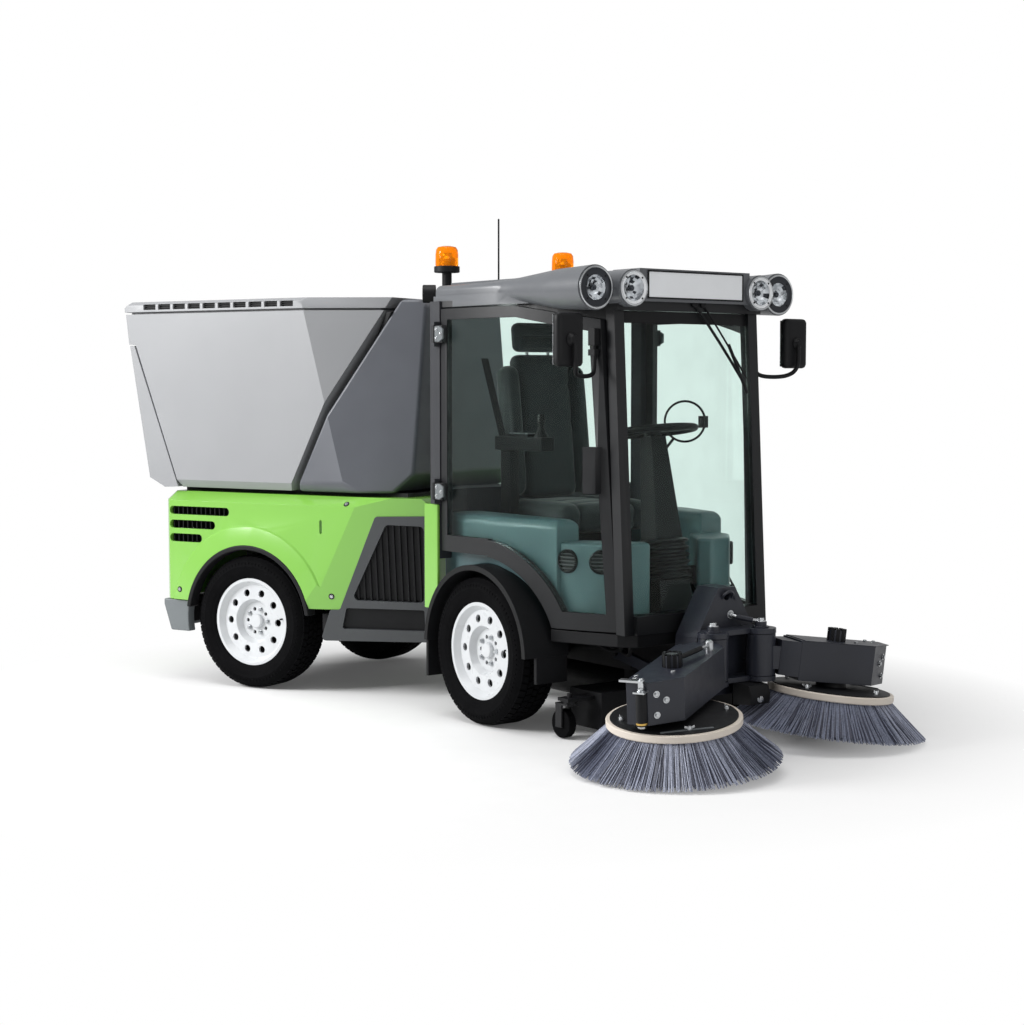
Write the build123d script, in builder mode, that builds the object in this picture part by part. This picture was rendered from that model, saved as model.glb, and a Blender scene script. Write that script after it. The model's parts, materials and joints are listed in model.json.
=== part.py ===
"""Articulated compact sweeper: rear power module with tipping hopper, front cab module with two brushes.

Both modules are drawn straight, about the pivot between them, and the front one is then turned by the
bend that the photo shows. Millimetres, X forward, Y to the left, Z up, ground at Z = 0.
"""
import os
from math import cos, hypot, radians, sin, sqrt

from build123d import *

os.makedirs("parts", exist_ok=True)

# Whole machine
PIVOT_X = -300.0          # where the waist pivot stands in the shared frame
PIVOT_Y = 526.0
BEND = 23.5               # how far the front module is turned to its right, degrees
REAR_AXLE = -930.0        # axle places along each module, from the pivot
FRONT_AXLE = 800.0
TRACK_HALF = 503.0        # wheel centre plane from the middle
SEAT_GAP = 0.3            # gap between a turning piece and its seat
PIN_CLEAR = 0.1           # radial play of a pin in its bore
MOVE_GAP = 6.0            # gap round a moving panel
LAP = 1.0                 # overlap by which joined shapes are fused
WELD = 5.0                # deeper overlap, where the joint is slanted
CUT = 60.0                # how far a cutting shape reaches past the wall it cuts

# Wheels
TYRE_R = 318.0
TYRE_HALF_W = 102.5
TREAD_HALF_W = 80.0
SHOULDER_R = 282.0
RIM_R = 208.0
RIM_HALF_W = 83.0
RIM_LIP = 14.0            # wall of the rim at its outer edge
DISH_OUT = 62.0           # crown of the wheel disc, outward from the centre plane
DISH_WALL = 12.0
DISH_OUT_R = 178.0        # crown of the disc, outer and inner radius
DISH_IN_R = 106.0
DISH_FALL = 6.0           # fall of the crown toward the rim
DISH_EASE = 4.0           # eased inner corners of the disc
HUB_EASE = 8.0
HUB_SEAT = 22.0           # back of the wheel disc, outward from the centre plane
HUB_THICK = 10.0
HUB_FACE_R = 90.0
HUB_R = 80.0
BORE_R = 30.0
VENT_COUNT = 10
VENT_R = 17.0
VENT_PITCH_R = 140.0
STUD_COUNT = 5
STUD_R = 9.0
STUD_PITCH_R = 58.0
ARCH_GAP = 27.0           # tyre to the inside of an arch
ARCH_WALL = 23.0
ARCH_IN_R = TYRE_R + ARCH_GAP
ARCH_R = ARCH_IN_R + ARCH_WALL
AXLE_TUBE_R = 52.0
DRUM_DEEP = 70.0          # brake drum, inward from the wheel's centre plane
SPIGOT_OUT = 14.0         # spigot past the wheel disc

# Rear frame
RAIL_IN = 220.0
RAIL_OUT = 300.0
RAIL_LOW = 262.0
RAIL_TOP = 372.0
RAIL_REAR = -1395.0
RAIL_FRONT = -210.0
CROSS_DEEP = 80.0         # cross members, fore and aft
CROSS_LOW = RAIL_LOW + 30.0
CROSS_END = 30.0          # cross member end inside the body wall
CROSS_MID = -560.0
CROSS_MID_HALF_W = 520.0
OUTRIGGER_IN = 500.0
OUTRIGGER_UP = 50.0
PIN_R = 32.0
EAR_R = 72.0
EAR_LOW = 262.0
EAR_THICK = 30.0
EAR_GAP = 2.0
TONGUE_R = 60.0
TONGUE_LOW = EAR_LOW + EAR_THICK + EAR_GAP
TONGUE_TOP = 370.0
EAR_TOP = TONGUE_TOP + EAR_GAP
TOW_DEEP = 45.0           # tow bracket and its tongue
TOW_HALF_W = 60.0
TOW_TONGUE = 60.0
TOW_TONGUE_HALF_W = 35.0
TOW_BACK_LOW = 282.0
TOW_LOW = 300.0
TOW_TOP = 322.0
TOW_PIN_R = 16.0
TOW_PIN_BACK = 80.0

# Engine, one plain block on two feet
ENGINE = dict(rear=-1250.0, front=-600.0, half_w=215.0, top=820.0)
ENGINE_SIDE = dict(rear=-1200.0, front=-650.0, half_w=260.0, low=420.0, top=780.0)
ENGINE_LOW = RAIL_TOP - 30.0
FOOT_HALF_W = 80.0
FOOT_TOP = 470.0
FOOT_IN = 10.0
FOOT_BAR = 40.0

# Rear body
WALL = 22.0
BODY_HALF_W = 608.0
BODY_REAR = -1452.0
BODY_FRONT = 40.0
BODY_LOW = 405.0
BODY_TOP = 930.0
BODY_BEVEL = 45.0
SHOULDER = 44.0           # bevel round the top
FLARE_R = 462.0           # raised ring round the arch
FLARE_OUT = 13.0
FLARE_EDGE = 7.0
FLARE_STEP = 8.0
TRIM_OUT = 16.0           # arch trim past the body side
TRIM_DEEP = 62.0
TRIM_LOW = 372.0
FLANK_TOP_X = -290.0      # where the side starts to turn inward, at the top and at the bottom
FLANK_LOW_X = -560.0
FLANK_FRONT_X = 60.0
FLANK_FRONT_Z = 700.0
FLANK_IN = 138.0          # how far it has turned in at the front
WAIST_HALF_W = 330.0      # opening in the front wall, above the pivot
WAIST_HEAD = 90.0
SLOT_H = 40.0
SLOT_ROWS = [dict(x0=-1404.0, x1=-1039.0, z=838.0), dict(x0=-1404.0, x1=-1125.0, z=771.0),
             dict(x0=-1404.0, x1=-1206.0, z=705.0)]
LATCH_SLOT = dict(x=-504.0, z=789.0, wide=14.0, high=64.0)

# Outlines on the slanted flank, (forward, up) from its top corner
MOULDING = [
    (75.0, -86.0), (325.0, -80.0), (325.0, -672.0), (-219.0, -680.0), (-165.0, -530.0), (-118.0, -530.0),
]
GRILLE = [(125.0, -123.0), (305.0, -128.0), (290.0, -486.0), (-57.0, -482.0)]
LOWER_PANEL = [(-85.0, -520.0), (290.0, -520.0), (290.0, -620.0), (-110.0, -620.0)]
MOULDING_CORNER = 18.0
GRILLE_CORNER = 22.0
PANEL_CORNER = 10.0
MOULDING_OUT = 6.0
GRILLE_IN = 12.0          # grille plate behind the flank
PANEL_IN = 8.0
RIB_PITCH = 30.0
RIB_W = 9.0
RIB_OUT = 9.0
RIB_COUNT = 13
RIB_MID = (125.0, -300.0)
RIB_H = 420.0

# Bumper and tail lamps
BUMPER_IN = 75.0
BUMPER_LOW = 262.0
BUMPER_CORNER_LOW = 250.0
BUMPER_TOP = BODY_LOW - 3.0
BUMPER_SIDE = 48.0
BUMPER_FRONT = -1230.0
BUMPER_INSET = 4.0
TAIL_LAMP_R = 48.0
TAIL_LAMP_OUT = 24.0
TAIL_LAMP_Y = 500.0
TAIL_LAMP_Z = (612.0, 496.0)

# Deck and tipping hinge
HOPPER_LOW = 950.0
DECK_TOP = HOPPER_LOW - 2.0
DECK_REAR = -1412.0
DECK_FRONT = -110.0
DECK_HALF_W = 470.0
TIP_X = -1455.0
TIP_Z = 925.0
TIP_PIN_R = 12.0
TIP_EYE_R = 19.0
LUG_IN = 300.0
LUG_OUT = 350.0
LUG_GAP = 6.0
LUG_EAR = 24.0
LUG_PLATE_LOW = 931.0
LUG_PLATE = 12.0
LUG_FOOT = 47.0
LUG_TOP = 940.0
LUG_FRONT = -1400.0

# Hopper, lid, tank and tailgate
HOPPER_INSET = 8.0        # hopper side behind the body side
HOPPER_HALF_W = BODY_HALF_W - HOPPER_INSET
HOPPER_WALL = 24.0
HOPPER_TOP = 1786.0
HOPPER_BAND = 36.0        # bevelled band along the bottom
HOPPER_TOP_REAR = -1673.0
HOPPER_INSIDE_TOP = 1811.0
LID_GAP = 10.0            # shadow gap under the lid
LID_INSET = 26.0
LID_TOP = 1846.0
LID_BEVEL = 16.0
LID_REAR = -1682.0
LID_NOSE = 37.0
LID_NOSE_DROP = 28.0
SEAM_TOP_X = -237.0       # slanted seam between hopper and tank
SEAM_LOW_X = -693.0
SEAM_GAP = 38.0
SEAM_WALL = 27.0
TANK_FRONT = -95.0
TANK_TOP = 1836.0
TANK_NOSE = 30.0
TANK_FOOT_Z = 1035.0
TANK_FOOT_BACK = 80.0
TAPER_TOP_X = -615.0      # front corners drawn in, from this line at the top and at the bottom
TAPER_LOW_X = -370.0
TAPER_FRONT_HALF_W = 330.0
LOUVRE = dict(first=-1560.0, count=10, pitch=92.0, wide=74.0, high=26.0, deep=30.0, z=1820.0)
GATE_TOP_Z = 1634.0
GATE_TOP_X = -1650.0
GATE_LOW_X = -1534.0
GATE_LOW_Z = 993.0
GATE_FOOT_X = -1440.0
GATE_SEAM_TOP_X = -1622.0
GATE_SEAM_LOW_X = -1357.0
GATE_SEAM = 8.0           # gap between tailgate and hopper
GATE_HOLLOW_TOP = 1480.0
GATE_HOLLOW_X = -1500.0
GATE_HOLLOW_FLOOR = 30.0
GATE_WALL_TOP = 50.0      # walls round the hollow of the tailgate
GATE_WALL = 26.0
GATE_WALL_FOOT = 10.0
HEADER_Z = GATE_TOP_Z + MOVE_GAP
HEADER_X = -1655.0
HEADER_IN = 59.0          # header box that carries the tailgate hinge
HEADER_UP = 34.0
HEADER_WALL = 15.0
GATE_PIN_X = -1669.0
GATE_PIN_Z = 1652.0
GATE_PIN_R = 6.0
KNUCKLE_R = 11.0
KNUCKLE_IN = 420.0
KNUCKLE_OUT = 500.0
KNUCKLE_EAR = 18.0
KNUCKLE_GAP = 3.0

# Cab
CAB_REAR = 185.0          # upper rear wall, above the rear module
CAB_STEP = 330.0          # lower rear wall, stepped in so that the waist can bend
CAB_WALL = 30.0
CAB_REAR_HALF_W = 380.0
CAB_STEP_HALF_W = 340.0
SHELF_LOW = 956.0
SHELF_TOP = 982.0
B_POST_BACK = 455.0
B_POST_FRONT = 527.0
B_POST_OUT = 600.0
B_POST_IN = 540.0
B_POST_LOW = 692.0
QUARTER_WALL = 50.0
QUARTER_GLASS_REAR = 380.0
QUARTER_GLASS_FRONT = 564.0
QUARTER_GLASS_DEEP = 10.5
FLOOR_LOW = 395.0
FLOOR_TOP = 470.0
SILL_TOP = 446.0
RING_LOW = 1776.0
RING_TOP = 1802.0
RING_W = 60.0
REAR_POST = 40.0
CAB_FRONT = 1538.0
SCUTTLE_BACK = 1470.0
HEADER_BACK = 1384.0
GLASS_THICK = 8.0
REAR_GLASS_IN = 12.0
FLOOR_OUTLINE = [(440.0, -358.0), (1175.0, -358.0)]
SILL_TIP = [(1175.0, -496.0), (1472.0, -388.0), (1530.0, -330.0)]
FLOOR_TIP = [(1175.0, -462.0), (1440.0, -342.0), (1468.0, -336.0)]
RING_SIDE = [(B_POST_BACK, -598.0), (660.0, -575.0), (900.0, -440.0), (1440.0, -385.0)]
WHEEL_BOX = [(470.0, -340.0), (470.0, -535.0), (900.0, -530.0), (1168.0, -458.0), (1168.0, -340.0)]
WHEEL_BOX_TOP = 890.0
WHEEL_BOX_ROUND = 40.0
WHEEL_BOX_IN = 392.0

# Doors
DOOR_R = 1788.0           # plan radius of the curved door
DOOR_ARC_X = 600.0        # where the door arc runs straight fore and aft
DOOR_ARC_Y = 598.0
DOOR_CENTRE_Y = DOOR_R - DOOR_ARC_Y
DOOR_THICK = 30.0
DOOR_BACK = 533.0
DOOR_LOW = 452.0
DOOR_FRONT_LOW_X = 1462.0
DOOR_FRONT_TOP_X = 1390.0
DOOR_TOP_REAR = 1768.0
DOOR_TOP_FRONT = 1704.0
DOOR_TOP_KNEE_X = 1000.0
DOOR_SHELF = 728.0        # lower edge behind and above the wheel
DOOR_SHELF_X = 850.0
DOOR_ARCH_R = ARCH_R + 40.0
STILE = 46.0
LOW_STILE = 70.0
GLASS_IN = 6.0
HINGE_X = 512.0
HINGE_Y = 614.6
HINGE_R = 14.0
HINGE_PIN_R = 6.0
HINGE_LEN = 74.0
HINGE_Z = (985.0, 1661.0)
HINGE_EAR = 15.0
HINGE_EAR_X = (498.0, 526.0)
HINGE_LEAF_X = 574.0
LEAF_BACK = 3.0
LEAF_LAP = 4.0
LEAF_DEEP = 12.0
HANDLE = dict(x=1370.0, wide=52.0, out=28.0, low=1008.0, high=1196.0)
LEAN = (DOOR_FRONT_TOP_X - DOOR_FRONT_LOW_X) / (DOOR_TOP_FRONT - DOOR_LOW)   # lean of the cab front
MIRROR_X = 1440.0
MIRROR_OUT = 194.0        # mirror outward from its foot on the door
MIRROR_Z = 1620.0
MIRROR_DEEP = 44.0
MIRROR_WIDE = 132.0
MIRROR_HIGH = 212.0
MIRROR_ROUND = 14.0
MIRROR_ARM_R = 9.0
MIRROR_ARM_LOW = 1480.0
MIRROR_ARM_BEND = 36.0
MIRROR_FOOT = dict(x=1372.0, wide=40.0, out=22.0, low=1600.0, high=1646.0)

# Windscreen and its posts
A_POST_IN = 340.0
A_POST_OUT = 390.0
A_POST_DEEP = 52.0
SCREEN_LOW = 520.0
SCREEN_TOP = 1740.0
SCREEN_BULGE = 34.0
SCREEN_AHEAD = 42.0       # screen edge ahead of the door's front edge

# Roof
ROOF_LOW = 1776.0
ROOF_LIP = 1824.0
ROOF_SKIN = 1872.0
ROOF_TOP = 1892.0
ROOF_STEP = 10.0          # upper part of the roof inside its lower lip
ROOF_ROUND = 28.0
ROOF_EDGE = [
    (165.0, -330.0), (215.0, -400.0), (460.0, -585.0), (900.0, -575.0), (1330.0, -440.0), (1440.0, -400.0),
]
ROOF_CROWN = [(245.0, -300.0), (370.0, -430.0), (1330.0, -400.0), (1400.0, -300.0)]
LAMP_X = 1463.0
LAMP_Y = 499.0
LAMP_Z = 1825.0
LAMP_R = 89.0
LAMP_GLASS_R = 62.0
LAMP_GLASS_OUT = 10.0
INNER_LAMP_X = 1512.0
INNER_LAMP_Y = 346.0
INNER_LAMP_R = 74.0
INNER_GLASS_R = 52.0
VISOR_BACK = 1330.0
VISOR_FRONT = 1496.0
VISOR_HALF_W = 300.0
VISOR_TOP = 1906.0
# Side rails of the roof, which swell into the lamp pods
ROOF_RAILS = [
    dict(x=700.0, y=530.0, z=1838.0, r=32.0), dict(x=1000.0, y=512.0, z=1834.0, r=50.0),
    dict(x=1250.0, y=502.0, z=1827.0, r=80.0), dict(x=LAMP_X, y=LAMP_Y, z=LAMP_Z, r=LAMP_R),
]
SIDE_LAMP = dict(share=0.36, z=1846.0, r=40.0, out=58.0)      # on the slanted rear corner of the roof
PLATE_THICK = 5.0
PLATE_HALF_W = 260.0
PLATE_LOW = 1787.0
PLATE_TOP = 1899.0
BEACON_X = 196.0
BEACON_Y = 333.0
BEACON_STEM_R = 22.0
BEACON_SOCKET = 22.0      # depth of the stem's socket in the roof
BEACON_BASE_R = 58.0
BEACON_BASE_LOW = 1950.0
BEACON_LOW = 1978.0
BEACON_TOP = 2069.0
BEACON_R = 52.0
BEACON_ROUND = 26.0
AERIAL = dict(x=260.0, y=-90.0, foot_r=20.0, foot=20.0, r=4.0, top=2200.0)

# Seat
SEAT_BASE = dict(back=500.0, front=880.0, half_w=190.0)
SEAT_LOW = 800.0
SEAT_TOP = 930.0
SEAT_BACK_X = 470.0
SEAT_FRONT_X = 960.0
SEAT_HALF_W = 245.0
SEAT_ROUND = 60.0
BACKREST_TOP = 1590.0
BACKREST = [(475.0, SEAT_TOP), (570.0, SEAT_TOP), (478.0, BACKREST_TOP), (388.0, BACKREST_TOP)]
BACKREST_HALF_W = 235.0
HEADREST_TOP = 1725.0
HEADREST = [(400.0, BACKREST_TOP), (466.0, BACKREST_TOP), (450.0, HEADREST_TOP), (384.0, HEADREST_TOP)]
HEADREST_HALF_W = 130.0
ARMREST = dict(
    post_back=590.0, post_front=660.0, out=-320.0, post_in=-270.0, low=740.0, under=1160.0, top=1220.0,
)
ARMREST_PAD = dict(back=560.0, front=900.0, out=-330.0, inside=-262.0)
ARMREST_BAR = 50.0
STICK = dict(x=850.0, y=-296.0, r=13.0, low=1210.0, top=1315.0)

# Steering
COLUMN_FOOT_X = 1340.0
COLUMN_FOOT = (130.0, 190.0)
COLUMN_HEAD = (80.0, 70.0)
COLUMN_DROP = 24.0        # top of the column under the wheel
WHEEL_X = 1232.0
WHEEL_Z = 1250.0
STEER_R = 178.0
STEER_GRIP_R = 14.0
STEER_HUB_R = 36.0
STEER_HUB_H = 38.0
STEER_HUB_DROP = 4.0
STEER_SHAFT_R = 12.0
STEER_SHAFT_LOW = 30.0
STEER_SHAFT_UP = 10.0
SPOKE_COUNT = 3
SPOKE = (30.0, 10.0)

# Front frame, fenders and corner panels
SPINE_HALF_W = 130.0
SPINE_BACK = 112.0
SPINE_FRONT = 1250.0
SPINE_LOW = 250.0
TONGUE_LAP = 18.0
FENDER_IN = 395.0
FENDER_OUT = 622.0
FENDER_LOW = 330.0
FLAP_LAP = 5.0
REAR_FLAP = dict(x0=434.0, x1=450.0, y0=400.0, y1=612.0, low=170.0)
FRONT_FLAP = dict(x0=1147.0, x1=1165.0, y0=400.0, y1=560.0, low=220.0)
CORNER_BACK = 425.0
CORNER_THICK = 15.0
CORNER_LOW = 470.0
CORNER_TOP = 928.0
CORNER_GAP = 3.0

# Brush lift and tower
LIFT_X = 1190.0           # hinge of the lift arms on the front frame
LIFT_Z = 320.0
LIFT_LEN = 410.0
LIFT_DROP = 80.0
LIFT_Y = 150.0
LIFT_PIN_R = 14.0
LIFT_EYE_R = 28.0
LIFT_ARM_H = 46.0
LIFT_ARM_W = 24.0
LIFT_EAR = 20.0
LIFT_EAR_GAP = 4.0
LIFT_EAR_UP = 34.0
TOWER_BACK = 1566.0
TOWER_FOOT_BACK = 1630.0
TOWER_FRONT = 1692.0
TOWER_NOTCH_Z = 310.0     # the foot is cut back below this, clear of the lift arms
TOWER_LOW = 198.0
TOWER_WALL = 16.0
TOWER_OUTLINE = [(-182.0, TOWER_LOW), (182.0, TOWER_LOW), (160.0, 440.0), (66.0, 600.0), (44.0, 632.0),
                 (-44.0, 632.0), (-66.0, 600.0), (-160.0, 440.0)]
TOWER_POCKET = [
    (-140.0, 330.0), (140.0, 330.0), (136.0, 430.0), (52.0, 580.0), (-52.0, 580.0), (-136.0, 430.0),
]
EYE_Z = 596.0
EYE_R = 17.0
TOWER_LAP = 10.0
CLEVIS_ROOT = 136.0
CLEVIS_LOW = 258.0
CLEVIS_HIGH = 450.0
CLEVIS_THICK = 20.0
CLEVIS_R = 62.0
CLEVIS_GAP = 2.0

# Brushes, one row each: swing pin, brush centre, and the side of the arm that faces forward
BRUSH_ROWS = {
    "right": dict(pin_x=1775.0, pin_y=-150.0, x=1985.0, y=-540.0, ahead=1),
    "left": dict(pin_x=1775.0, pin_y=110.0, x=1885.0, y=400.0, ahead=-1),
}
ARM_PIN_R = 22.0
ARM_BOSS_R = 60.0
ARM_H = 160.0
ARM_W = 186.0
ARM_UP = 36.0             # underside of the arm above the brush disc
ARM_END = 236.0           # end of the arm past the brush centre
ARM_CORNER = 104.0        # slanted front corner of that end
ARM_START = 118.0         # start of the wide part, from the pin
NECK_W = 100.0
NECK_LAP = 8.0
NECK_IN = 34.0            # neck below the arm's top and above its underside
MOTOR_R = 36.0
MOTOR_H = 48.0
SHAFT_R = 20.0
SHAFT_LAP = 10.0
BRUSH_TILT = 6.5
RING_Z = 205.0
RING_R = 256.0
RING_H = 46.0
DISC_UP = 8.0
DISC_HUB_R = 62.0
TIP_R = 408.0
TIP_IN = 110.0            # width of the skirt at its tips
BRISTLE_ROOT_R = 190.0
BRISTLE_EDGE = 6.0
BRISTLE_LOW = 4.0
TUFT_COUNT = 36
TUFT_GAP = 9.0
TUFT_BAND = 52.0          # closed band of the skirt under the ring

# Suction mouth and casters
MOUTH_BACK = 1135.0
MOUTH_FRONT = 1345.0
MOUTH_HALF_W = 364.0
MOUTH_LOW = 36.0
MOUTH_TOP = 190.0
MOUTH_WALL = 14.0
MOUTH_ROOF = 20.0
HANGER = dict(back=1150.0, front=1210.0, half_w=80.0)
DUCT_Z = 150.0
DUCT_R = 84.0
DUCT_WALL = 8.0
DUCT_BACK = 295.0
DUCT_COLLAR_R = 98.0
DUCT_COLLAR = 30.0
DUCT_STRAP = dict(back=420.0, front=480.0, half_w=50.0, low=224.0)
CASTER_R = 60.0
CASTER_HALF_W = 19.0
CASTER_TRAIL = 35.0
CASTER_X = 1268.0
CASTER_Y = 470.0
CASTER_LIFT = 3.0
CASTER_Z = CASTER_R + CASTER_LIFT
BRACKET_LOW = 160.0
BRACKET_THICK = 14.0
BRACKET_HALF = 34.0
BRACKET_LAP = 10.0
SWIVEL_R = 26.0
SWIVEL_H = 12.0
STEM_R = 10.0
STEM_UP = 30.0
FORK_TOP = 18.0
FORK_PLATE = 8.0
FORK_HALF_W = 30.0
FORK_AHEAD = 24.0
FORK_BACK = 22.0
LEG_HALF = 20.0
LEG_Y = 26.0
LEG_THICK = 8.0
LEG_LOW = 14.0
ROLLER_PIN_R = 6.0

REAR = Location((PIVOT_X, PIVOT_Y, 0))
FRONT = Location((PIVOT_X, PIVOT_Y, 0), (0, 0, -BEND))
SIDES = {"right": -1, "left": 1}


def keep(name, part, where):
    """Name a finished piece, set it in the shared frame and write it out."""
    moved = part.moved(where)
    moved.label = name
    export_step(moved, f"parts/{name}.step")


def prism(points, half):
    """The (x, z) outline made into a solid that reaches half to each side of the middle."""
    with BuildPart() as body:
        with BuildSketch(Plane.XZ):
            with BuildLine():
                Polyline(*points, close=True)
            make_face()
        extrude(amount=half, both=True)
    return body.part


def slab(points, low, high):
    """The (x, y) outline made into a solid between two heights."""
    with BuildPart() as body:
        with BuildSketch(Plane.XY.offset(low)):
            with BuildLine():
                Polyline(*points, close=True)
            make_face()
        extrude(amount=high - low)
    return body.part


def block(x0, x1, y0, y1, z0, z1, mode=Mode.ADD):
    """A box between two corners, added to the piece being built or cut from it."""
    with Locations(((x0 + x1) / 2, (y0 + y1) / 2, (z0 + z1) / 2)):
        return Box(abs(x1 - x0), abs(y1 - y0), abs(z1 - z0), mode=mode)


def drum(x, z, radius, y0, y1, mode=Mode.ADD):
    """A cylinder lying across the machine."""
    with Locations(Location((x, (y0 + y1) / 2, z), (90, 0, 0))):
        return Cylinder(radius, abs(y1 - y0), mode=mode)


def barrel(y, z, radius, x0, x1, mode=Mode.ADD):
    """A cylinder lying fore and aft."""
    with Locations(Location(((x0 + x1) / 2, y, z), (0, 90, 0))):
        return Cylinder(radius, abs(x1 - x0), mode=mode)


def post(x, y, radius, z0, z1, mode=Mode.ADD):
    """An upright cylinder."""
    with Locations((x, y, (z0 + z1) / 2)):
        return Cylinder(radius, abs(z1 - z0), mode=mode)


def both_sides(points):
    """Right-hand outline points followed by their mirror images, as one closed ring."""
    return [*points, *[(x, -y) for x, y in reversed(points)]]


def pair(part):
    """A right-hand piece and its mirror image, as one node."""
    with BuildPart() as body:
        add([part, mirror(part, about=Plane.XZ)])
    return body.part


# Tyre and wheel, axle along Y, outer face toward +Y
with BuildPart() as tyre:
    with BuildSketch(Plane.YZ):
        with BuildLine():
            Polyline(
                (-TREAD_HALF_W, TYRE_R), (TREAD_HALF_W, TYRE_R), (TYRE_HALF_W, SHOULDER_R),
                (RIM_HALF_W, RIM_R), (-RIM_HALF_W, RIM_R), (-TYRE_HALF_W, SHOULDER_R), close=True,
            )
        make_face()
    revolve(axis=Axis.Y)

HUB_FACE = HUB_SEAT + HUB_THICK
RIM_SECTION = [           # (out from the centre plane, radius)
    (RIM_HALF_W, RIM_R), (RIM_HALF_W, RIM_R - RIM_LIP), (DISH_OUT - DISH_FALL, DISH_OUT_R - DISH_EASE),
    (DISH_OUT, DISH_IN_R),
    (HUB_FACE, HUB_FACE_R), (HUB_FACE, BORE_R), (HUB_SEAT, BORE_R), (HUB_SEAT, HUB_FACE_R + HUB_EASE),
    (DISH_OUT - DISH_WALL, DISH_IN_R + HUB_EASE), (DISH_OUT - DISH_WALL - DISH_EASE, DISH_OUT_R + DISH_EASE),
    (-RIM_HALF_W, RIM_R - DISH_WALL), (-RIM_HALF_W, RIM_R),
]
with BuildPart() as rim:
    with BuildSketch(Plane.YZ):
        with BuildLine():
            Polyline(*RIM_SECTION, close=True)
        make_face()
    revolve(axis=Axis.Y)
    with BuildSketch(Plane.XZ):
        with PolarLocations(VENT_PITCH_R, VENT_COUNT):
            Circle(VENT_R)
        with PolarLocations(STUD_PITCH_R, STUD_COUNT):
            Circle(STUD_R)
    extrude(amount=-RIM_HALF_W, mode=Mode.SUBTRACT)

WHEEL_ROWS = [            # name, module place, axle x, side sign
    ("front_right", FRONT, FRONT_AXLE, -1), ("front_left", FRONT, FRONT_AXLE, 1),
    ("rear_right", REAR, REAR_AXLE, -1), ("rear_left", REAR, REAR_AXLE, 1),
]
for name, module, axle_x, sign in WHEEL_ROWS:
    stand = module * Location((axle_x, sign * TRACK_HALF, TYRE_R), (0, 0, 0 if sign > 0 else 180))
    keep(f"tyre_{name}", tyre.part, stand)
    keep(f"rim_{name}", rim.part, stand)


def axle(axle_x, inner):
    """Two hub housings that carry the wheels on spigots."""
    hub_end = TRACK_HALF + HUB_SEAT - SEAT_GAP
    drum_end = TRACK_HALF - DRUM_DEEP
    with BuildPart() as housings:
        for sign in SIDES.values():
            drum(axle_x, TYRE_R, AXLE_TUBE_R, sign * inner, sign * drum_end)
            drum(axle_x, TYRE_R, HUB_R, sign * drum_end, sign * hub_end)
            drum(
                axle_x, TYRE_R, BORE_R - PIN_CLEAR, sign * hub_end,
                sign * (hub_end + HUB_THICK + SPIGOT_OUT),
            )
    return housings.part


keep("rear_axle", axle(REAR_AXLE, RAIL_OUT), REAR)
keep("front_axle", axle(FRONT_AXLE, SPINE_HALF_W), FRONT)

# Rear frame: two rails, cross members, fork and pin of the waist pivot, tow tongue
CROSS_REAR_HALF_W = BODY_HALF_W - WALL - CROSS_END
CROSS_FRONT = RAIL_FRONT - CROSS_DEEP
TOW_BACK = RAIL_REAR - TOW_DEEP
with BuildPart() as rear_frame:
    for sign in SIDES.values():
        block(RAIL_REAR, RAIL_FRONT, sign * RAIL_IN, sign * RAIL_OUT, RAIL_LOW, RAIL_TOP)
    for x0, half in ((RAIL_REAR, CROSS_REAR_HALF_W), (CROSS_MID, CROSS_MID_HALF_W), (CROSS_FRONT, RAIL_OUT)):
        block(x0, x0 + CROSS_DEEP, -half, half, CROSS_LOW, RAIL_TOP)
    for sign in SIDES.values():
        rise = BODY_LOW + OUTRIGGER_UP
        block(
            RAIL_REAR, RAIL_REAR + CROSS_DEEP, sign * OUTRIGGER_IN, sign * CROSS_REAR_HALF_W, CROSS_LOW,
            rise,
        )
        block(
            RAIL_REAR, RAIL_REAR + CROSS_DEEP, sign * OUTRIGGER_IN, sign * (BODY_HALF_W - WALL),
            BODY_LOW + MOVE_GAP, rise,
        )
    for low in (EAR_LOW, EAR_TOP):
        block(CROSS_FRONT, 0, -EAR_R, EAR_R, low, low + EAR_THICK)
        post(0, 0, EAR_R, low, low + EAR_THICK)
    post(0, 0, PIN_R, EAR_LOW, EAR_TOP + EAR_THICK)
    block(TOW_BACK, RAIL_REAR, -TOW_HALF_W, TOW_HALF_W, TOW_BACK_LOW, RAIL_TOP)
    block(TOW_BACK - TOW_TONGUE, TOW_BACK, -TOW_TONGUE_HALF_W, TOW_TONGUE_HALF_W, TOW_LOW, TOW_TOP)
    post(RAIL_REAR - TOW_PIN_BACK, 0, TOW_PIN_R, TOW_LOW - CUT, TOW_TOP + CUT, mode=Mode.SUBTRACT)
keep("rear_frame", rear_frame.part, REAR)

with BuildPart() as engine_block:
    block(ENGINE["rear"], ENGINE["front"], -ENGINE["half_w"], ENGINE["half_w"], ENGINE_LOW, ENGINE["top"])
    block(
        ENGINE_SIDE["rear"], ENGINE_SIDE["front"], -ENGINE_SIDE["half_w"], ENGINE_SIDE["half_w"],
        ENGINE_SIDE["low"], ENGINE_SIDE["top"],
    )
    for x0 in (RAIL_REAR, CROSS_MID):
        block(x0 + FOOT_IN, x0 + CROSS_DEEP - FOOT_IN, -FOOT_HALF_W, FOOT_HALF_W, RAIL_TOP, FOOT_TOP)
    block(
        RAIL_REAR + FOOT_IN, CROSS_MID + CROSS_DEEP - FOOT_IN, -FOOT_HALF_W, FOOT_HALF_W,
        FOOT_TOP - FOOT_BAR, FOOT_TOP,
    )
keep("engine_block", engine_block.part, REAR)

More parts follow.
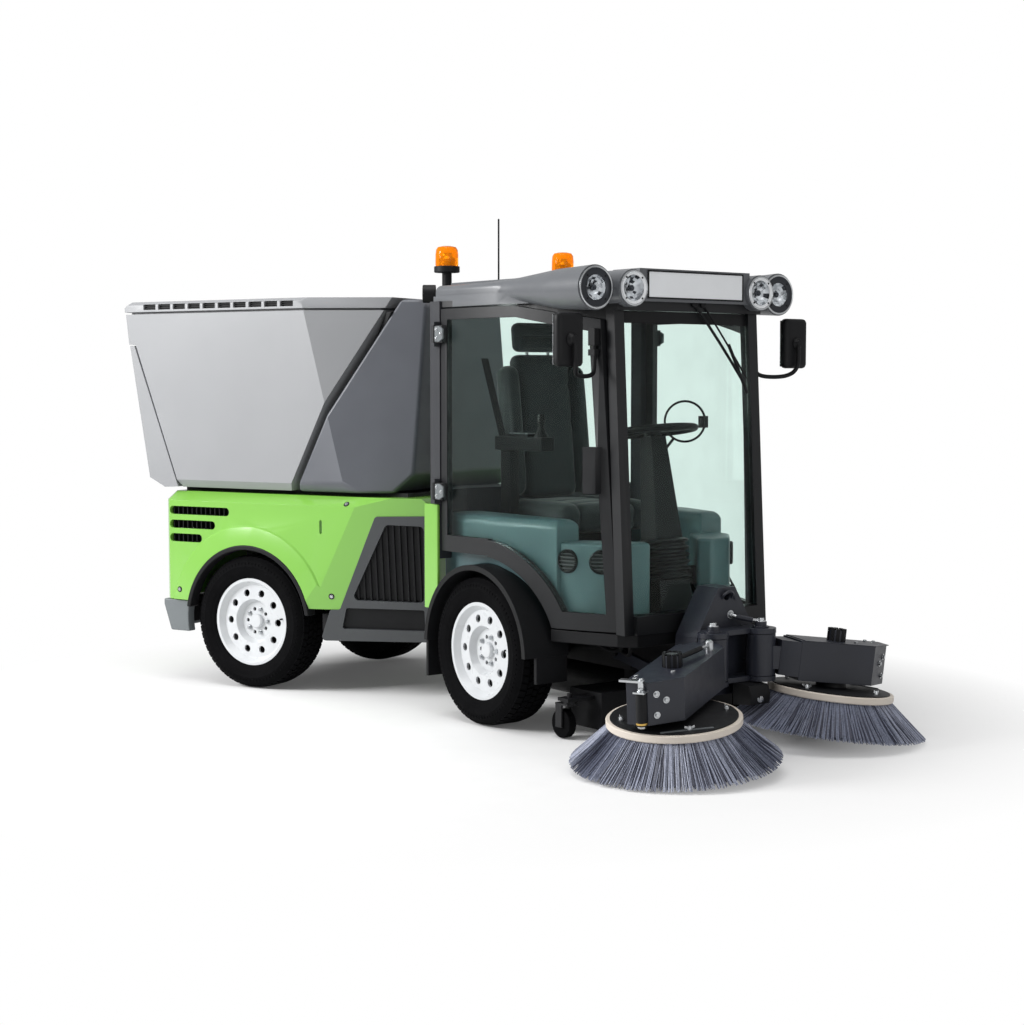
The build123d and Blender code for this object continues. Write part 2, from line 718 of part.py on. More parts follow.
# Slanted flank planes: the side turns inward toward the waist
FLANK_A = Vector(FLANK_TOP_X, -BODY_HALF_W, BODY_TOP)
FLANK_B = Vector(FLANK_LOW_X, -BODY_HALF_W, BODY_LOW)
FLANK_C = Vector(FLANK_FRONT_X, FLANK_IN - BODY_HALF_W, FLANK_FRONT_Z)
flank_normal = (FLANK_B - FLANK_A).cross(FLANK_C - FLANK_A).normalized()
flank_along = Vector(0, 0, 1).cross(flank_normal).normalized()
if flank_along.X < 0:
    flank_along = flank_along * -1
FLANK = Plane(origin=FLANK_A, x_dir=flank_along, z_dir=flank_normal)
BODY_LENGTH = BODY_FRONT - BODY_REAR


def flank_cuts(near):
    """Both slabs that cut the body away beyond a distance measured outward from the flanks."""
    with BuildPart() as body:
        with BuildSketch(FLANK.offset(near)):
            Rectangle(2 * BODY_LENGTH, 2 * BODY_LENGTH)
        extrude(amount=BODY_HALF_W)
    return [body.part, mirror(body.part, about=Plane.XZ)]


def on_flank(outline, near, far, corner):
    """An outline on the right flank made into a plate between two distances outward from it."""
    with BuildPart() as body:
        with BuildSketch(FLANK.offset(near)) as drawn:
            with BuildLine():
                Polyline(*outline, close=True)
            make_face()
            fillet(drawn.vertices(), corner)
        extrude(amount=far - near)
    return body.part


# Green rear body: a shell open below, with wheel arches, raised arch rings, slots and side mouldings let in
BEVEL_LOSS = (2 - sqrt(2)) * WALL     # how much shorter a bevel is on the inside of the shell
with BuildPart() as body_inside:
    block(
        BODY_REAR + WALL, BODY_FRONT - WALL, WALL - BODY_HALF_W, BODY_HALF_W - WALL, BODY_LOW - CUT,
        BODY_TOP - WALL,
    )
    chamfer(body_inside.edges().filter_by(Axis.Z).group_by(Axis.X)[0], BODY_BEVEL - BEVEL_LOSS)
    chamfer(body_inside.faces().sort_by(Axis.Z)[-1].edges(), SHOULDER - BEVEL_LOSS)
    for cut in flank_cuts(-WALL):
        add(cut, mode=Mode.SUBTRACT)

with BuildPart() as arch_ring:
    with BuildSketch(Plane.YZ):
        with BuildLine():
            Polyline(
                (BODY_HALF_W - WALL / 2, ARCH_R), (BODY_HALF_W + FLARE_OUT, ARCH_R),
                (BODY_HALF_W + FLARE_EDGE, FLARE_R - FLARE_STEP),
                (BODY_HALF_W, FLARE_R), (BODY_HALF_W - WALL / 2, FLARE_R), close=True,
            )
        make_face()
    revolve(axis=Axis.Y)
    block(-FLARE_R, FLARE_R, 0, BODY_HALF_W + CUT, -FLARE_R, BODY_LOW - TYRE_R, mode=Mode.SUBTRACT)
arch_ring_left = arch_ring.part.moved(Location((REAR_AXLE, 0, TYRE_R)))

with BuildPart() as rear_body:
    block(BODY_REAR, BODY_FRONT, -BODY_HALF_W, BODY_HALF_W, BODY_LOW, BODY_TOP)
    chamfer(rear_body.edges().filter_by(Axis.Z).group_by(Axis.X)[0], BODY_BEVEL)
    chamfer(rear_body.faces().sort_by(Axis.Z)[-1].edges(), SHOULDER)
    add([arch_ring_left, mirror(arch_ring_left, about=Plane.XZ)])
    for cut in flank_cuts(0):
        add(cut, mode=Mode.SUBTRACT)
    add(body_inside.part, mode=Mode.SUBTRACT)
    for sign in SIDES.values():
        drum(REAR_AXLE, TYRE_R, ARCH_R, sign * RAIL_OUT, sign * (BODY_HALF_W + CUT), mode=Mode.SUBTRACT)
    with BuildSketch(Plane.XZ):
        for row in SLOT_ROWS:
            with Locations(((row["x0"] + row["x1"]) / 2, row["z"])):
                SlotOverall(row["x1"] - row["x0"], SLOT_H)
        with Locations((LATCH_SLOT["x"], LATCH_SLOT["z"])):
            SlotOverall(LATCH_SLOT["high"], LATCH_SLOT["wide"], rotation=90)
    extrude(amount=BODY_HALF_W + CUT, both=True, mode=Mode.SUBTRACT)
    window = on_flank(MOULDING, -CUT, CUT, MOULDING_CORNER)
    add([window, mirror(window, about=Plane.XZ)], mode=Mode.SUBTRACT)
    block(
        BODY_FRONT - 2 * WALL, BODY_FRONT + CUT, -WAIST_HALF_W, WAIST_HALF_W, BODY_LOW - CUT,
        BODY_TOP - WAIST_HEAD,
        mode=Mode.SUBTRACT,
    )
keep("rear_body", rear_body.part, REAR)

TRIM_EDGE = BODY_HALF_W + TRIM_OUT
with BuildPart() as arch_trims:
    for sign in SIDES.values():
        drum(REAR_AXLE, TYRE_R, ARCH_R, sign * (TRIM_EDGE - TRIM_DEEP), sign * TRIM_EDGE)
        drum(
            REAR_AXLE, TYRE_R, ARCH_IN_R, sign * (TRIM_EDGE - 2 * TRIM_DEEP), sign * (TRIM_EDGE + CUT),
            mode=Mode.SUBTRACT,
        )
    block(
        REAR_AXLE - FLARE_R, REAR_AXLE + FLARE_R, -TRIM_EDGE - CUT, TRIM_EDGE + CUT, -TYRE_R, TRIM_LOW,
        mode=Mode.SUBTRACT,
    )
keep("rear_arch_trims", arch_trims.part, REAR)

with BuildPart() as side_moulding:
    add(on_flank(MOULDING, -WALL, MOULDING_OUT, MOULDING_CORNER))
    add(on_flank(GRILLE, -CUT, CUT, GRILLE_CORNER), mode=Mode.SUBTRACT)
    add(on_flank(LOWER_PANEL, -CUT, CUT, PANEL_CORNER), mode=Mode.SUBTRACT)
keep("side_mouldings", pair(side_moulding.part), REAR)

with BuildPart() as grille_ribs:
    with BuildSketch(FLANK.offset(-GRILLE_IN)):
        with Locations(RIB_MID):
            with GridLocations(RIB_PITCH, 1.0, RIB_COUNT, 1):
                Rectangle(RIB_W, RIB_H)
    extrude(amount=RIB_OUT)
    add(on_flank(GRILLE, -WALL, CUT, GRILLE_CORNER), mode=Mode.INTERSECT)
with BuildPart() as side_grille:
    add(on_flank(GRILLE, -WALL, -GRILLE_IN, GRILLE_CORNER))
    add(on_flank(LOWER_PANEL, -WALL, -PANEL_IN, PANEL_CORNER))
    add(grille_ribs.part)
keep("side_grilles", pair(side_grille.part), REAR)

BUMPER_EDGE = BODY_HALF_W - BUMPER_INSET
with BuildPart() as rear_bumper:
    for sign in SIDES.values():
        block(BODY_REAR, RAIL_REAR, sign * BUMPER_IN, sign * BUMPER_EDGE, BUMPER_LOW, BUMPER_TOP)
        block(
            BODY_REAR, BUMPER_FRONT, sign * (BUMPER_EDGE - BUMPER_SIDE), sign * BUMPER_EDGE,
            BUMPER_CORNER_LOW, BUMPER_TOP,
        )
        drum(
            REAR_AXLE, TYRE_R, ARCH_R + EAR_GAP, sign * (BUMPER_EDGE - 3 * BUMPER_SIDE),
            sign * (BUMPER_EDGE + CUT),
            mode=Mode.SUBTRACT,
        )
keep("rear_bumper", rear_bumper.part, REAR)

with BuildPart() as tail_lamps:
    for sign in SIDES.values():
        for z in TAIL_LAMP_Z:
            barrel(sign * TAIL_LAMP_Y, z, TAIL_LAMP_R, BODY_REAR - TAIL_LAMP_OUT, BODY_REAR)
keep("tail_lamps", tail_lamps.part, REAR)

# Deck under the hopper, with the ears of the tipping hinge
with BuildPart() as hopper_deck:
    block(DECK_REAR, DECK_FRONT, -DECK_HALF_W, DECK_HALF_W, BODY_TOP, DECK_TOP)
    for sign in SIDES.values():
        block(
            TIP_X - CUT, DECK_REAR + 2 * CUT, sign * (LUG_IN - LUG_GAP), sign * (LUG_OUT + LUG_GAP),
            BODY_TOP - CUT, DECK_TOP + CUT, mode=Mode.SUBTRACT,
        )
    for sign in SIDES.values():
        for near in (LUG_IN - LUG_GAP - LUG_EAR, LUG_OUT + LUG_GAP):
            block(TIP_X, LUG_FRONT, sign * near, sign * (near + LUG_EAR), BODY_TOP + LAP, LUG_TOP)
            drum(TIP_X, TIP_Z, TIP_EYE_R, sign * near, sign * (near + LUG_EAR))
    drum(TIP_X, TIP_Z, TIP_PIN_R + PIN_CLEAR, -DECK_HALF_W, DECK_HALF_W, mode=Mode.SUBTRACT)
keep("hopper_deck", hopper_deck.part, REAR)


def seam_x(z):
    """Place of the slanted seam between hopper and tank at a height."""
    return SEAM_LOW_X + (SEAM_TOP_X - SEAM_LOW_X) * (z - HOPPER_LOW) / (LID_TOP - HOPPER_LOW)


# Tapered front corners shared by hopper, lid and tank
TAPER_TOP = Vector(TAPER_TOP_X, -HOPPER_HALF_W, LID_TOP)
TAPER_LOW = Vector(TAPER_LOW_X, -HOPPER_HALF_W, HOPPER_LOW)
TAPER_FRONT = Vector(TANK_FRONT, -TAPER_FRONT_HALF_W, LID_TOP)
taper_normal = (TAPER_LOW - TAPER_TOP).cross(TAPER_FRONT - TAPER_TOP).normalized()
if taper_normal.Y > 0:
    taper_normal = taper_normal * -1
TAPER_PLANE = Plane(origin=TAPER_TOP, z_dir=taper_normal)
HOPPER_LENGTH = TANK_FRONT - LID_REAR


def taper_cuts(near):
    """Solids that cut both front corners away beyond a distance from the tapered planes."""
    with BuildPart() as body:
        with BuildSketch(TAPER_PLANE.offset(near)):
            Rectangle(3 * HOPPER_LENGTH, 3 * HOPPER_LENGTH)
        extrude(amount=2 * HOPPER_HALF_W)
    return [body.part, mirror(body.part, about=Plane.XZ)]


def side_band(near):
    """Wedges that bevel the lower edge of both hopper sides."""
    edge = HOPPER_HALF_W
    low = HOPPER_LOW - LID_GAP
    with BuildPart() as body:
        with BuildSketch(Plane.YZ.offset(LID_REAR)):
            with BuildLine():
                Polyline(
                    (near - edge - CUT, low), (HOPPER_BAND - edge, low), (-edge, HOPPER_LOW + HOPPER_BAND),
                    (near - edge - CUT, HOPPER_LOW + HOPPER_BAND), close=True,
                )
            make_face()
        extrude(amount=HOPPER_LENGTH + CUT)
    return [body.part, mirror(body.part, about=Plane.XZ)]


with BuildPart() as water_tank:
    add(prism([
        (seam_x(DECK_TOP) + SEAM_GAP, DECK_TOP), (seam_x(TANK_TOP) + SEAM_GAP, TANK_TOP),
        (TANK_FRONT - TANK_NOSE, TANK_TOP),
        (TANK_FRONT, TANK_TOP - TANK_NOSE), (TANK_FRONT, TANK_FOOT_Z),
        (TANK_FRONT - TANK_FOOT_BACK, DECK_TOP),
    ], HOPPER_HALF_W))
    add(taper_cuts(0), mode=Mode.SUBTRACT)
    add(side_band(0), mode=Mode.SUBTRACT)
keep("water_tank", water_tank.part, REAR)

GATE_BACK_X = GATE_SEAM_LOW_X + GATE_SEAM
GATE_BACK_TOP_X = GATE_SEAM_TOP_X + GATE_SEAM
HOPPER_FLOOR = HOPPER_LOW + HOPPER_WALL
with BuildPart() as hopper_inside:
    add(prism([
        (GATE_LOW_X, HOPPER_FLOOR), (seam_x(HOPPER_FLOOR) - SEAM_WALL, HOPPER_FLOOR),
        (seam_x(HOPPER_INSIDE_TOP) - SEAM_WALL, HOPPER_INSIDE_TOP),
        (HEADER_X + HEADER_WALL, HOPPER_INSIDE_TOP), (HEADER_X + HEADER_WALL, HEADER_Z + HEADER_UP),
        (HEADER_X + HEADER_IN, HEADER_Z + HEADER_UP),
        (HEADER_X + HEADER_IN, GATE_TOP_Z - GATE_HOLLOW_FLOOR),
        (GATE_TOP_X - 2 * CUT, GATE_TOP_Z - GATE_HOLLOW_FLOOR),
    ], HOPPER_HALF_W - HOPPER_WALL))
    add(taper_cuts(-HOPPER_WALL), mode=Mode.SUBTRACT)
LUG_PLATE_TOP = LUG_PLATE_LOW + LUG_PLATE
with BuildPart() as hopper_shell:
    add(prism([
        (GATE_BACK_X, HOPPER_LOW), (seam_x(HOPPER_LOW), HOPPER_LOW), (seam_x(HOPPER_TOP), HOPPER_TOP),
        (HOPPER_TOP_REAR, HOPPER_TOP), (HEADER_X, HEADER_Z), (GATE_BACK_TOP_X, HEADER_Z),
    ], HOPPER_HALF_W))
    add(taper_cuts(0), mode=Mode.SUBTRACT)
    add(side_band(0), mode=Mode.SUBTRACT)
    add(hopper_inside.part, mode=Mode.SUBTRACT)
    for sign in SIDES.values():
        block(
            TIP_X - MOVE_GAP, GATE_BACK_X + LUG_FOOT, sign * LUG_IN, sign * LUG_OUT, LUG_PLATE_LOW,
            LUG_PLATE_TOP,
        )
        block(
            GATE_BACK_X, GATE_BACK_X + LUG_FOOT, sign * LUG_IN, sign * LUG_OUT, LUG_PLATE_LOW,
            HOPPER_LOW + DISC_UP,
        )
        drum(TIP_X, TIP_Z, TIP_EYE_R - EAR_GAP, sign * LUG_IN, sign * LUG_OUT)
        drum(
            TIP_X, TIP_Z, TIP_PIN_R, sign * (LUG_IN - LUG_GAP - LUG_EAR),
            sign * (LUG_OUT + LUG_GAP + LUG_EAR),
        )
        for near in (KNUCKLE_IN - KNUCKLE_GAP - KNUCKLE_EAR, KNUCKLE_OUT + KNUCKLE_GAP):
            block(
                GATE_PIN_X - KNUCKLE_R, HEADER_X + WELD, sign * near, sign * (near + KNUCKLE_EAR),
                HEADER_Z + EAR_GAP, HEADER_Z + EAR_GAP + LUG_EAR,
            )
        drum(
            GATE_PIN_X, GATE_PIN_Z, GATE_PIN_R, sign * (KNUCKLE_IN - KNUCKLE_EAR),
            sign * (KNUCKLE_OUT + KNUCKLE_EAR),
        )
keep("hopper_shell", hopper_shell.part, REAR)

LID_LOW = HOPPER_TOP + LID_GAP
with BuildPart() as hopper_lid:
    add(prism([
        (seam_x(LID_LOW), LID_LOW), (seam_x(LID_TOP), LID_TOP), (LID_REAR + LID_NOSE, LID_TOP),
        (LID_REAR, LID_TOP - LID_NOSE_DROP), (LID_REAR + EAR_GAP, LID_LOW),
    ], HOPPER_HALF_W))
    add(taper_cuts(0), mode=Mode.SUBTRACT)
    chamfer(hopper_lid.faces().sort_by(Axis.Z)[-1].edges().filter_by(Axis.X), LID_BEVEL)
    with BuildPart(mode=Mode.PRIVATE) as plinth:
        add(prism([
            (seam_x(HOPPER_TOP) - LID_INSET, HOPPER_TOP), (seam_x(HOPPER_TOP) - LID_INSET, LID_LOW + LAP),
            (LID_REAR + LID_INSET, LID_LOW + LAP), (LID_REAR + LID_INSET, HOPPER_TOP),
        ], HOPPER_HALF_W - HOPPER_WALL))
        add(taper_cuts(-LID_INSET), mode=Mode.SUBTRACT)
    add(plinth.part)
    for sign in SIDES.values():
        for i in range(LOUVRE["count"]):
            x = LOUVRE["first"] + i * LOUVRE["pitch"]
            block(
                x, x + LOUVRE["wide"], sign * (HOPPER_HALF_W - LOUVRE["deep"]), sign * (HOPPER_HALF_W + CUT),
                LOUVRE["z"] - LOUVRE["high"] / 2, LOUVRE["z"] + LOUVRE["high"] / 2, mode=Mode.SUBTRACT,
            )
keep("hopper_lid", hopper_lid.part, REAR)

with BuildPart() as hopper_tailgate:
    add(prism([
        (GATE_TOP_X, GATE_TOP_Z), (GATE_LOW_X, GATE_LOW_Z), (GATE_FOOT_X, HOPPER_LOW - EAR_GAP),
        (GATE_SEAM_LOW_X, HOPPER_LOW + EAR_GAP), (GATE_SEAM_TOP_X, GATE_TOP_Z),
    ], HOPPER_HALF_W))
    add(prism([
        (GATE_TOP_X + GATE_WALL_TOP, GATE_HOLLOW_TOP), (GATE_LOW_X + GATE_WALL, GATE_LOW_Z + GATE_WALL),
        (GATE_FOOT_X + GATE_WALL_FOOT, HOPPER_LOW + GATE_HOLLOW_FLOOR),
        (GATE_SEAM_LOW_X + CUT, HOPPER_LOW + GATE_HOLLOW_FLOOR), (GATE_HOLLOW_X, GATE_HOLLOW_TOP),
    ], HOPPER_HALF_W - HOPPER_WALL), mode=Mode.SUBTRACT)
    for sign in SIDES.values():
        block(
            GATE_PIN_X - KNUCKLE_R, GATE_TOP_X + WELD, sign * KNUCKLE_IN, sign * KNUCKLE_OUT,
            GATE_TOP_Z - LUG_EAR, GATE_TOP_Z + MOVE_GAP,
        )
        block(
            GATE_PIN_X - KNUCKLE_R, GATE_PIN_X + KNUCKLE_R, sign * KNUCKLE_IN, sign * KNUCKLE_OUT,
            GATE_TOP_Z - WELD, GATE_PIN_Z,
        )
        drum(GATE_PIN_X, GATE_PIN_Z, KNUCKLE_R, sign * KNUCKLE_IN, sign * KNUCKLE_OUT)
    drum(GATE_PIN_X, GATE_PIN_Z, GATE_PIN_R + PIN_CLEAR, -HOPPER_HALF_W, HOPPER_HALF_W, mode=Mode.SUBTRACT)
keep("hopper_tailgate", hopper_tailgate.part, REAR)

# Front frame: spine, tongue of the waist pivot and pins of the lift arms
LIFT_PIN_END = LIFT_Y + LIFT_ARM_W
with BuildPart() as front_frame:
    block(SPINE_BACK, SPINE_FRONT, -SPINE_HALF_W, SPINE_HALF_W, SPINE_LOW, FLOOR_LOW)
    block(0, SPINE_BACK + TONGUE_LAP, -TONGUE_R, TONGUE_R, TONGUE_LOW, TONGUE_TOP)
    post(0, 0, TONGUE_R, TONGUE_LOW, TONGUE_TOP)
    post(0, 0, PIN_R + PIN_CLEAR, TONGUE_LOW - CUT, TONGUE_TOP + CUT, mode=Mode.SUBTRACT)
    drum(LIFT_X, LIFT_Z, LIFT_PIN_R, -LIFT_PIN_END, LIFT_PIN_END)
keep("front_frame", front_frame.part, FRONT)

FLOOR_BACK = [(CAB_STEP, -CAB_STEP_HALF_W), *FLOOR_OUTLINE]
with BuildPart() as cab_floor:
    add(slab(both_sides([*FLOOR_BACK, *SILL_TIP]), FLOOR_LOW, SILL_TOP))
    add(slab(both_sides([*FLOOR_BACK, *FLOOR_TIP]), SILL_TOP, FLOOR_TOP))
keep("cab_floor", cab_floor.part, FRONT)

with BuildPart() as wheel_box:
    add(slab(WHEEL_BOX, FLOOR_TOP, WHEEL_BOX_TOP))
    fillet(wheel_box.faces().sort_by(Axis.Z)[-1].edges(), WHEEL_BOX_ROUND)
    drum(FRONT_AXLE, TYRE_R, ARCH_R + SEAT_GAP, -WHEEL_BOX_IN, -FENDER_OUT - CUT, mode=Mode.SUBTRACT)
keep("wheel_boxes", pair(wheel_box.part), FRONT)


def front_x(z):
    """Front edge of the door, which leans back as it rises."""
    return DOOR_FRONT_LOW_X + LEAN * (z - DOOR_LOW)


def door_y(x):
    """Outer face of the right door at a place along the cab."""
    return DOOR_CENTRE_Y - sqrt(DOOR_R ** 2 - (x - DOOR_ARC_X) ** 2)


RING_OUTLINE = [(CAB_REAR, -CAB_REAR_HALF_W), *RING_SIDE]
QUARTER_OUT = B_POST_OUT - EAR_GAP
QUARTER_IN = QUARTER_OUT - QUARTER_WALL
with BuildPart() as cab_frame:
    for sign in SIDES.values():
        block(B_POST_BACK, B_POST_FRONT, sign * B_POST_IN, sign * B_POST_OUT, B_POST_LOW, RING_TOP)
        block(
            CAB_REAR, CAB_REAR + REAR_POST, sign * CAB_STEP_HALF_W, sign * CAB_REAR_HALF_W, SHELF_LOW,
            RING_TOP,
        )
        add(slab([
            (B_POST_BACK, sign * QUARTER_OUT), (CAB_STEP, sign * CAB_STEP_HALF_W),
            (CAB_STEP + CAB_WALL, sign * (CAB_STEP_HALF_W - WELD)), (B_POST_BACK, sign * QUARTER_IN),
        ], B_POST_LOW + DISC_UP, SHELF_TOP))
        with BuildSketch(Plane.XY.offset(SILL_TOP)):
            post_mid = front_x(SILL_TOP) + MOVE_GAP + A_POST_DEEP / 2
            with Locations((post_mid, sign * (A_POST_IN + A_POST_OUT) / 2)):
                Rectangle(A_POST_DEEP, A_POST_OUT - A_POST_IN)
        extrude(amount=(RING_LOW + WELD - SILL_TOP) * sqrt(1 + LEAN * LEAN), dir=(LEAN, 0, 1))
    block(CAB_STEP, CAB_STEP + CAB_WALL, -CAB_STEP_HALF_W, CAB_STEP_HALF_W, FLOOR_TOP, SHELF_TOP)
    add(slab(both_sides([
        (CAB_REAR, -CAB_REAR_HALF_W), (B_POST_BACK, -QUARTER_OUT), (B_POST_BACK, -QUARTER_IN),
        (CAB_STEP + CAB_WALL, WELD - CAB_STEP_HALF_W),
    ]), SHELF_LOW, SHELF_TOP))
    block(SCUTTLE_BACK, CAB_FRONT, -A_POST_IN, A_POST_IN, SILL_TOP, SCREEN_LOW)
    block(HEADER_BACK, SCUTTLE_BACK, -A_POST_OUT, A_POST_OUT, SCREEN_TOP, RING_TOP)
    with BuildSketch(Plane.XY.offset(RING_LOW)):
        with BuildLine():
            Polyline(*both_sides(RING_OUTLINE), close=True)
        make_face()
        offset(amount=-RING_W, kind=Kind.INTERSECTION, mode=Mode.SUBTRACT)
    extrude(amount=RING_TOP - RING_LOW)
    for sign in SIDES.values():
        for z in HINGE_Z:
            for low in (z - HINGE_LEN / 2 - HINGE_EAR - LAP, z + HINGE_LEN / 2 + LAP):
                block(
                    *HINGE_EAR_X, sign * (B_POST_OUT - EAR_GAP), sign * (HINGE_Y + HINGE_R - LAP), low,
                    low + HINGE_EAR,
                )
            post(
                HINGE_X, sign * HINGE_Y, HINGE_PIN_R, z - HINGE_LEN / 2 - DISC_UP,
                z + HINGE_LEN / 2 + DISC_UP,
            )
keep("cab_frame", cab_frame.part, FRONT)

QUARTER_GLASS = [(CAB_REAR + REAR_POST + LAP, QUARTER_GLASS_REAR), (B_POST_BACK - LAP, QUARTER_GLASS_FRONT)]
with BuildPart() as rear_glass:
    glass_x = CAB_REAR + REAR_GLASS_IN
    block(glass_x, glass_x + GLASS_THICK, -CAB_STEP_HALF_W, CAB_STEP_HALF_W, SHELF_TOP, RING_LOW)
    for sign in SIDES.values():
        inner = [(x, sign * y) for x, y in QUARTER_GLASS]
        outer = [(x, sign * (y + QUARTER_GLASS_DEEP)) for x, y in reversed(QUARTER_GLASS)]
        add(slab([*inner, *outer], SHELF_TOP, RING_LOW))
keep("rear_glass", rear_glass.part, FRONT)

with BuildPart() as windscreen:
    edge_x = front_x(SCREEN_LOW) + SCREEN_AHEAD
    back_x = edge_x - GLASS_THICK
    with BuildSketch(Plane.XY.offset(SCREEN_LOW)):
        with BuildLine():
            ThreePointArc((edge_x, -A_POST_IN), (edge_x + SCREEN_BULGE, 0), (edge_x, A_POST_IN))
            Line((edge_x, A_POST_IN), (back_x, A_POST_IN))
            ThreePointArc((back_x, A_POST_IN), (back_x + SCREEN_BULGE, 0), (back_x, -A_POST_IN))
            Line((back_x, -A_POST_IN), (edge_x, -A_POST_IN))
        make_face()
    extrude(amount=(SCREEN_TOP - SCREEN_LOW) * sqrt(1 + LEAN * LEAN), dir=(LEAN, 0, 1))
keep("windscreen", windscreen.part, FRONT)

# Roof: a lower lip, a rounded upper part, a raised middle, a visor and sides that swell into the lamp pods
with BuildPart() as roof_upper:
    with BuildSketch(Plane.XY.offset(ROOF_LIP)):
        with BuildLine():
            Polyline(*both_sides(ROOF_EDGE), close=True)
        make_face()
        offset(amount=-ROOF_STEP, kind=Kind.INTERSECTION, mode=Mode.REPLACE)
    extrude(amount=ROOF_SKIN - ROOF_LIP)
    fillet(roof_upper.faces().sort_by(Axis.Z)[-1].edges(), ROOF_ROUND)
STEM_FOOT = ROOF_SKIN - BEACON_SOCKET
with BuildPart() as roof:
    add(slab(both_sides(ROOF_EDGE), ROOF_LOW, ROOF_LIP))
    add(roof_upper.part)
    add(slab(both_sides(ROOF_CROWN), ROOF_SKIN, ROOF_TOP))
    for sign in SIDES.values():
        for back, ahead in zip(ROOF_RAILS, ROOF_RAILS[1:]):
            for row in (back, ahead):
                with BuildSketch(Plane(origin=(row["x"], sign * row["y"], row["z"]), z_dir=(1, 0, 0))):
                    Circle(row["r"])
            loft(ruled=True)
        barrel(sign * INNER_LAMP_Y, LAMP_Z, INNER_LAMP_R, VISOR_BACK, INNER_LAMP_X)
    block(VISOR_BACK, VISOR_FRONT, -VISOR_HALF_W, VISOR_HALF_W, ROOF_LOW, VISOR_TOP)
    add(slab(both_sides(RING_OUTLINE), RING_LOW - 3 * CUT, RING_TOP), mode=Mode.SUBTRACT)
    block(
        HEADER_BACK, SCUTTLE_BACK, -A_POST_OUT, A_POST_OUT, RING_LOW - 3 * CUT, RING_TOP,
        mode=Mode.SUBTRACT,
    )
    for sign in SIDES.values():
        post(
            BEACON_X, sign * BEACON_Y, BEACON_STEM_R + PIN_CLEAR, STEM_FOOT, ROOF_SKIN + CUT,
            mode=Mode.SUBTRACT,
        )
keep("roof", roof.part, FRONT)

with BuildPart() as work_lamps:
    for sign in SIDES.values():
        barrel(sign * LAMP_Y, LAMP_Z, LAMP_GLASS_R, LAMP_X, LAMP_X + LAMP_GLASS_OUT)
        barrel(sign * INNER_LAMP_Y, LAMP_Z, INNER_GLASS_R, INNER_LAMP_X, INNER_LAMP_X + LAMP_GLASS_OUT)
keep("work_lamps", work_lamps.part, FRONT)

with BuildPart() as front_plate:
    block(VISOR_FRONT, VISOR_FRONT + PLATE_THICK, -PLATE_HALF_W, PLATE_HALF_W, PLATE_LOW, PLATE_TOP)
keep("front_plate", front_plate.part, FRONT)

corner_back, corner_front = Vector(*ROOF_EDGE[1]), Vector(*ROOF_EDGE[2])
corner = corner_back + (corner_front - corner_back) * SIDE_LAMP["share"]
look = (corner_front - corner_back).cross(Vector(0, 0, 1)).normalized()
with BuildPart() as roof_fittings:
    for sign in SIDES.values():
        post(BEACON_X, sign * BEACON_Y, BEACON_STEM_R, STEM_FOOT, BEACON_BASE_LOW)
        post(BEACON_X, sign * BEACON_Y, BEACON_BASE_R, BEACON_BASE_LOW, BEACON_LOW)
        face = Plane(origin=(corner.X, sign * corner.Y, SIDE_LAMP["z"]), z_dir=(look.X, sign * look.Y, 0))
        with BuildSketch(face):
            Circle(SIDE_LAMP["r"])
        extrude(amount=SIDE_LAMP["out"])
    post(AERIAL["x"], AERIAL["y"], AERIAL["foot_r"], ROOF_TOP, ROOF_TOP + AERIAL["foot"])
    post(AERIAL["x"], AERIAL["y"], AERIAL["r"], ROOF_TOP, AERIAL["top"])
keep("roof_fittings", roof_fittings.part, FRONT)

with BuildPart() as beacon_lenses:
    for sign in SIDES.values():
        post(BEACON_X, sign * BEACON_Y, BEACON_R, BEACON_LOW, BEACON_TOP)
    fillet(beacon_lenses.faces().sort_by(Axis.Z)[-2:].edges(), BEACON_ROUND)
keep("beacon_lenses", beacon_lenses.part, FRONT)

with BuildPart() as seat_frame:
    block(
        SEAT_BASE["back"], SEAT_BASE["front"], -SEAT_BASE["half_w"], SEAT_BASE["half_w"], FLOOR_TOP,
        SEAT_LOW,
    )
    foot = ARMREST["low"]
    block(
        ARMREST["post_back"], ARMREST["post_front"], ARMREST["out"], -SEAT_BASE["half_w"] + FOOT_IN, foot,
        foot + ARMREST_BAR,
    )
    block(
        ARMREST["post_back"], ARMREST["post_front"], ARMREST["out"], ARMREST["post_in"], foot,
        ARMREST["under"] + FOOT_IN,
    )
    block(
        ARMREST_PAD["back"], ARMREST_PAD["front"], ARMREST_PAD["out"], ARMREST_PAD["inside"],
        ARMREST["under"], ARMREST["top"],
    )
    post(STICK["x"], STICK["y"], STICK["r"], STICK["low"], STICK["top"])
keep("seat_frame", seat_frame.part, FRONT)

with BuildPart() as seat_cushion:
    block(SEAT_BACK_X, SEAT_FRONT_X, -SEAT_HALF_W, SEAT_HALF_W, SEAT_LOW, SEAT_TOP)
    fillet(seat_cushion.edges().filter_by(Axis.Z), SEAT_ROUND)
keep("seat_cushion", seat_cushion.part, FRONT)

with BuildPart() as seat_back:
    add(prism(BACKREST, BACKREST_HALF_W))
    add(prism(HEADREST, HEADREST_HALF_W))
keep("seat_back", seat_back.part, FRONT)

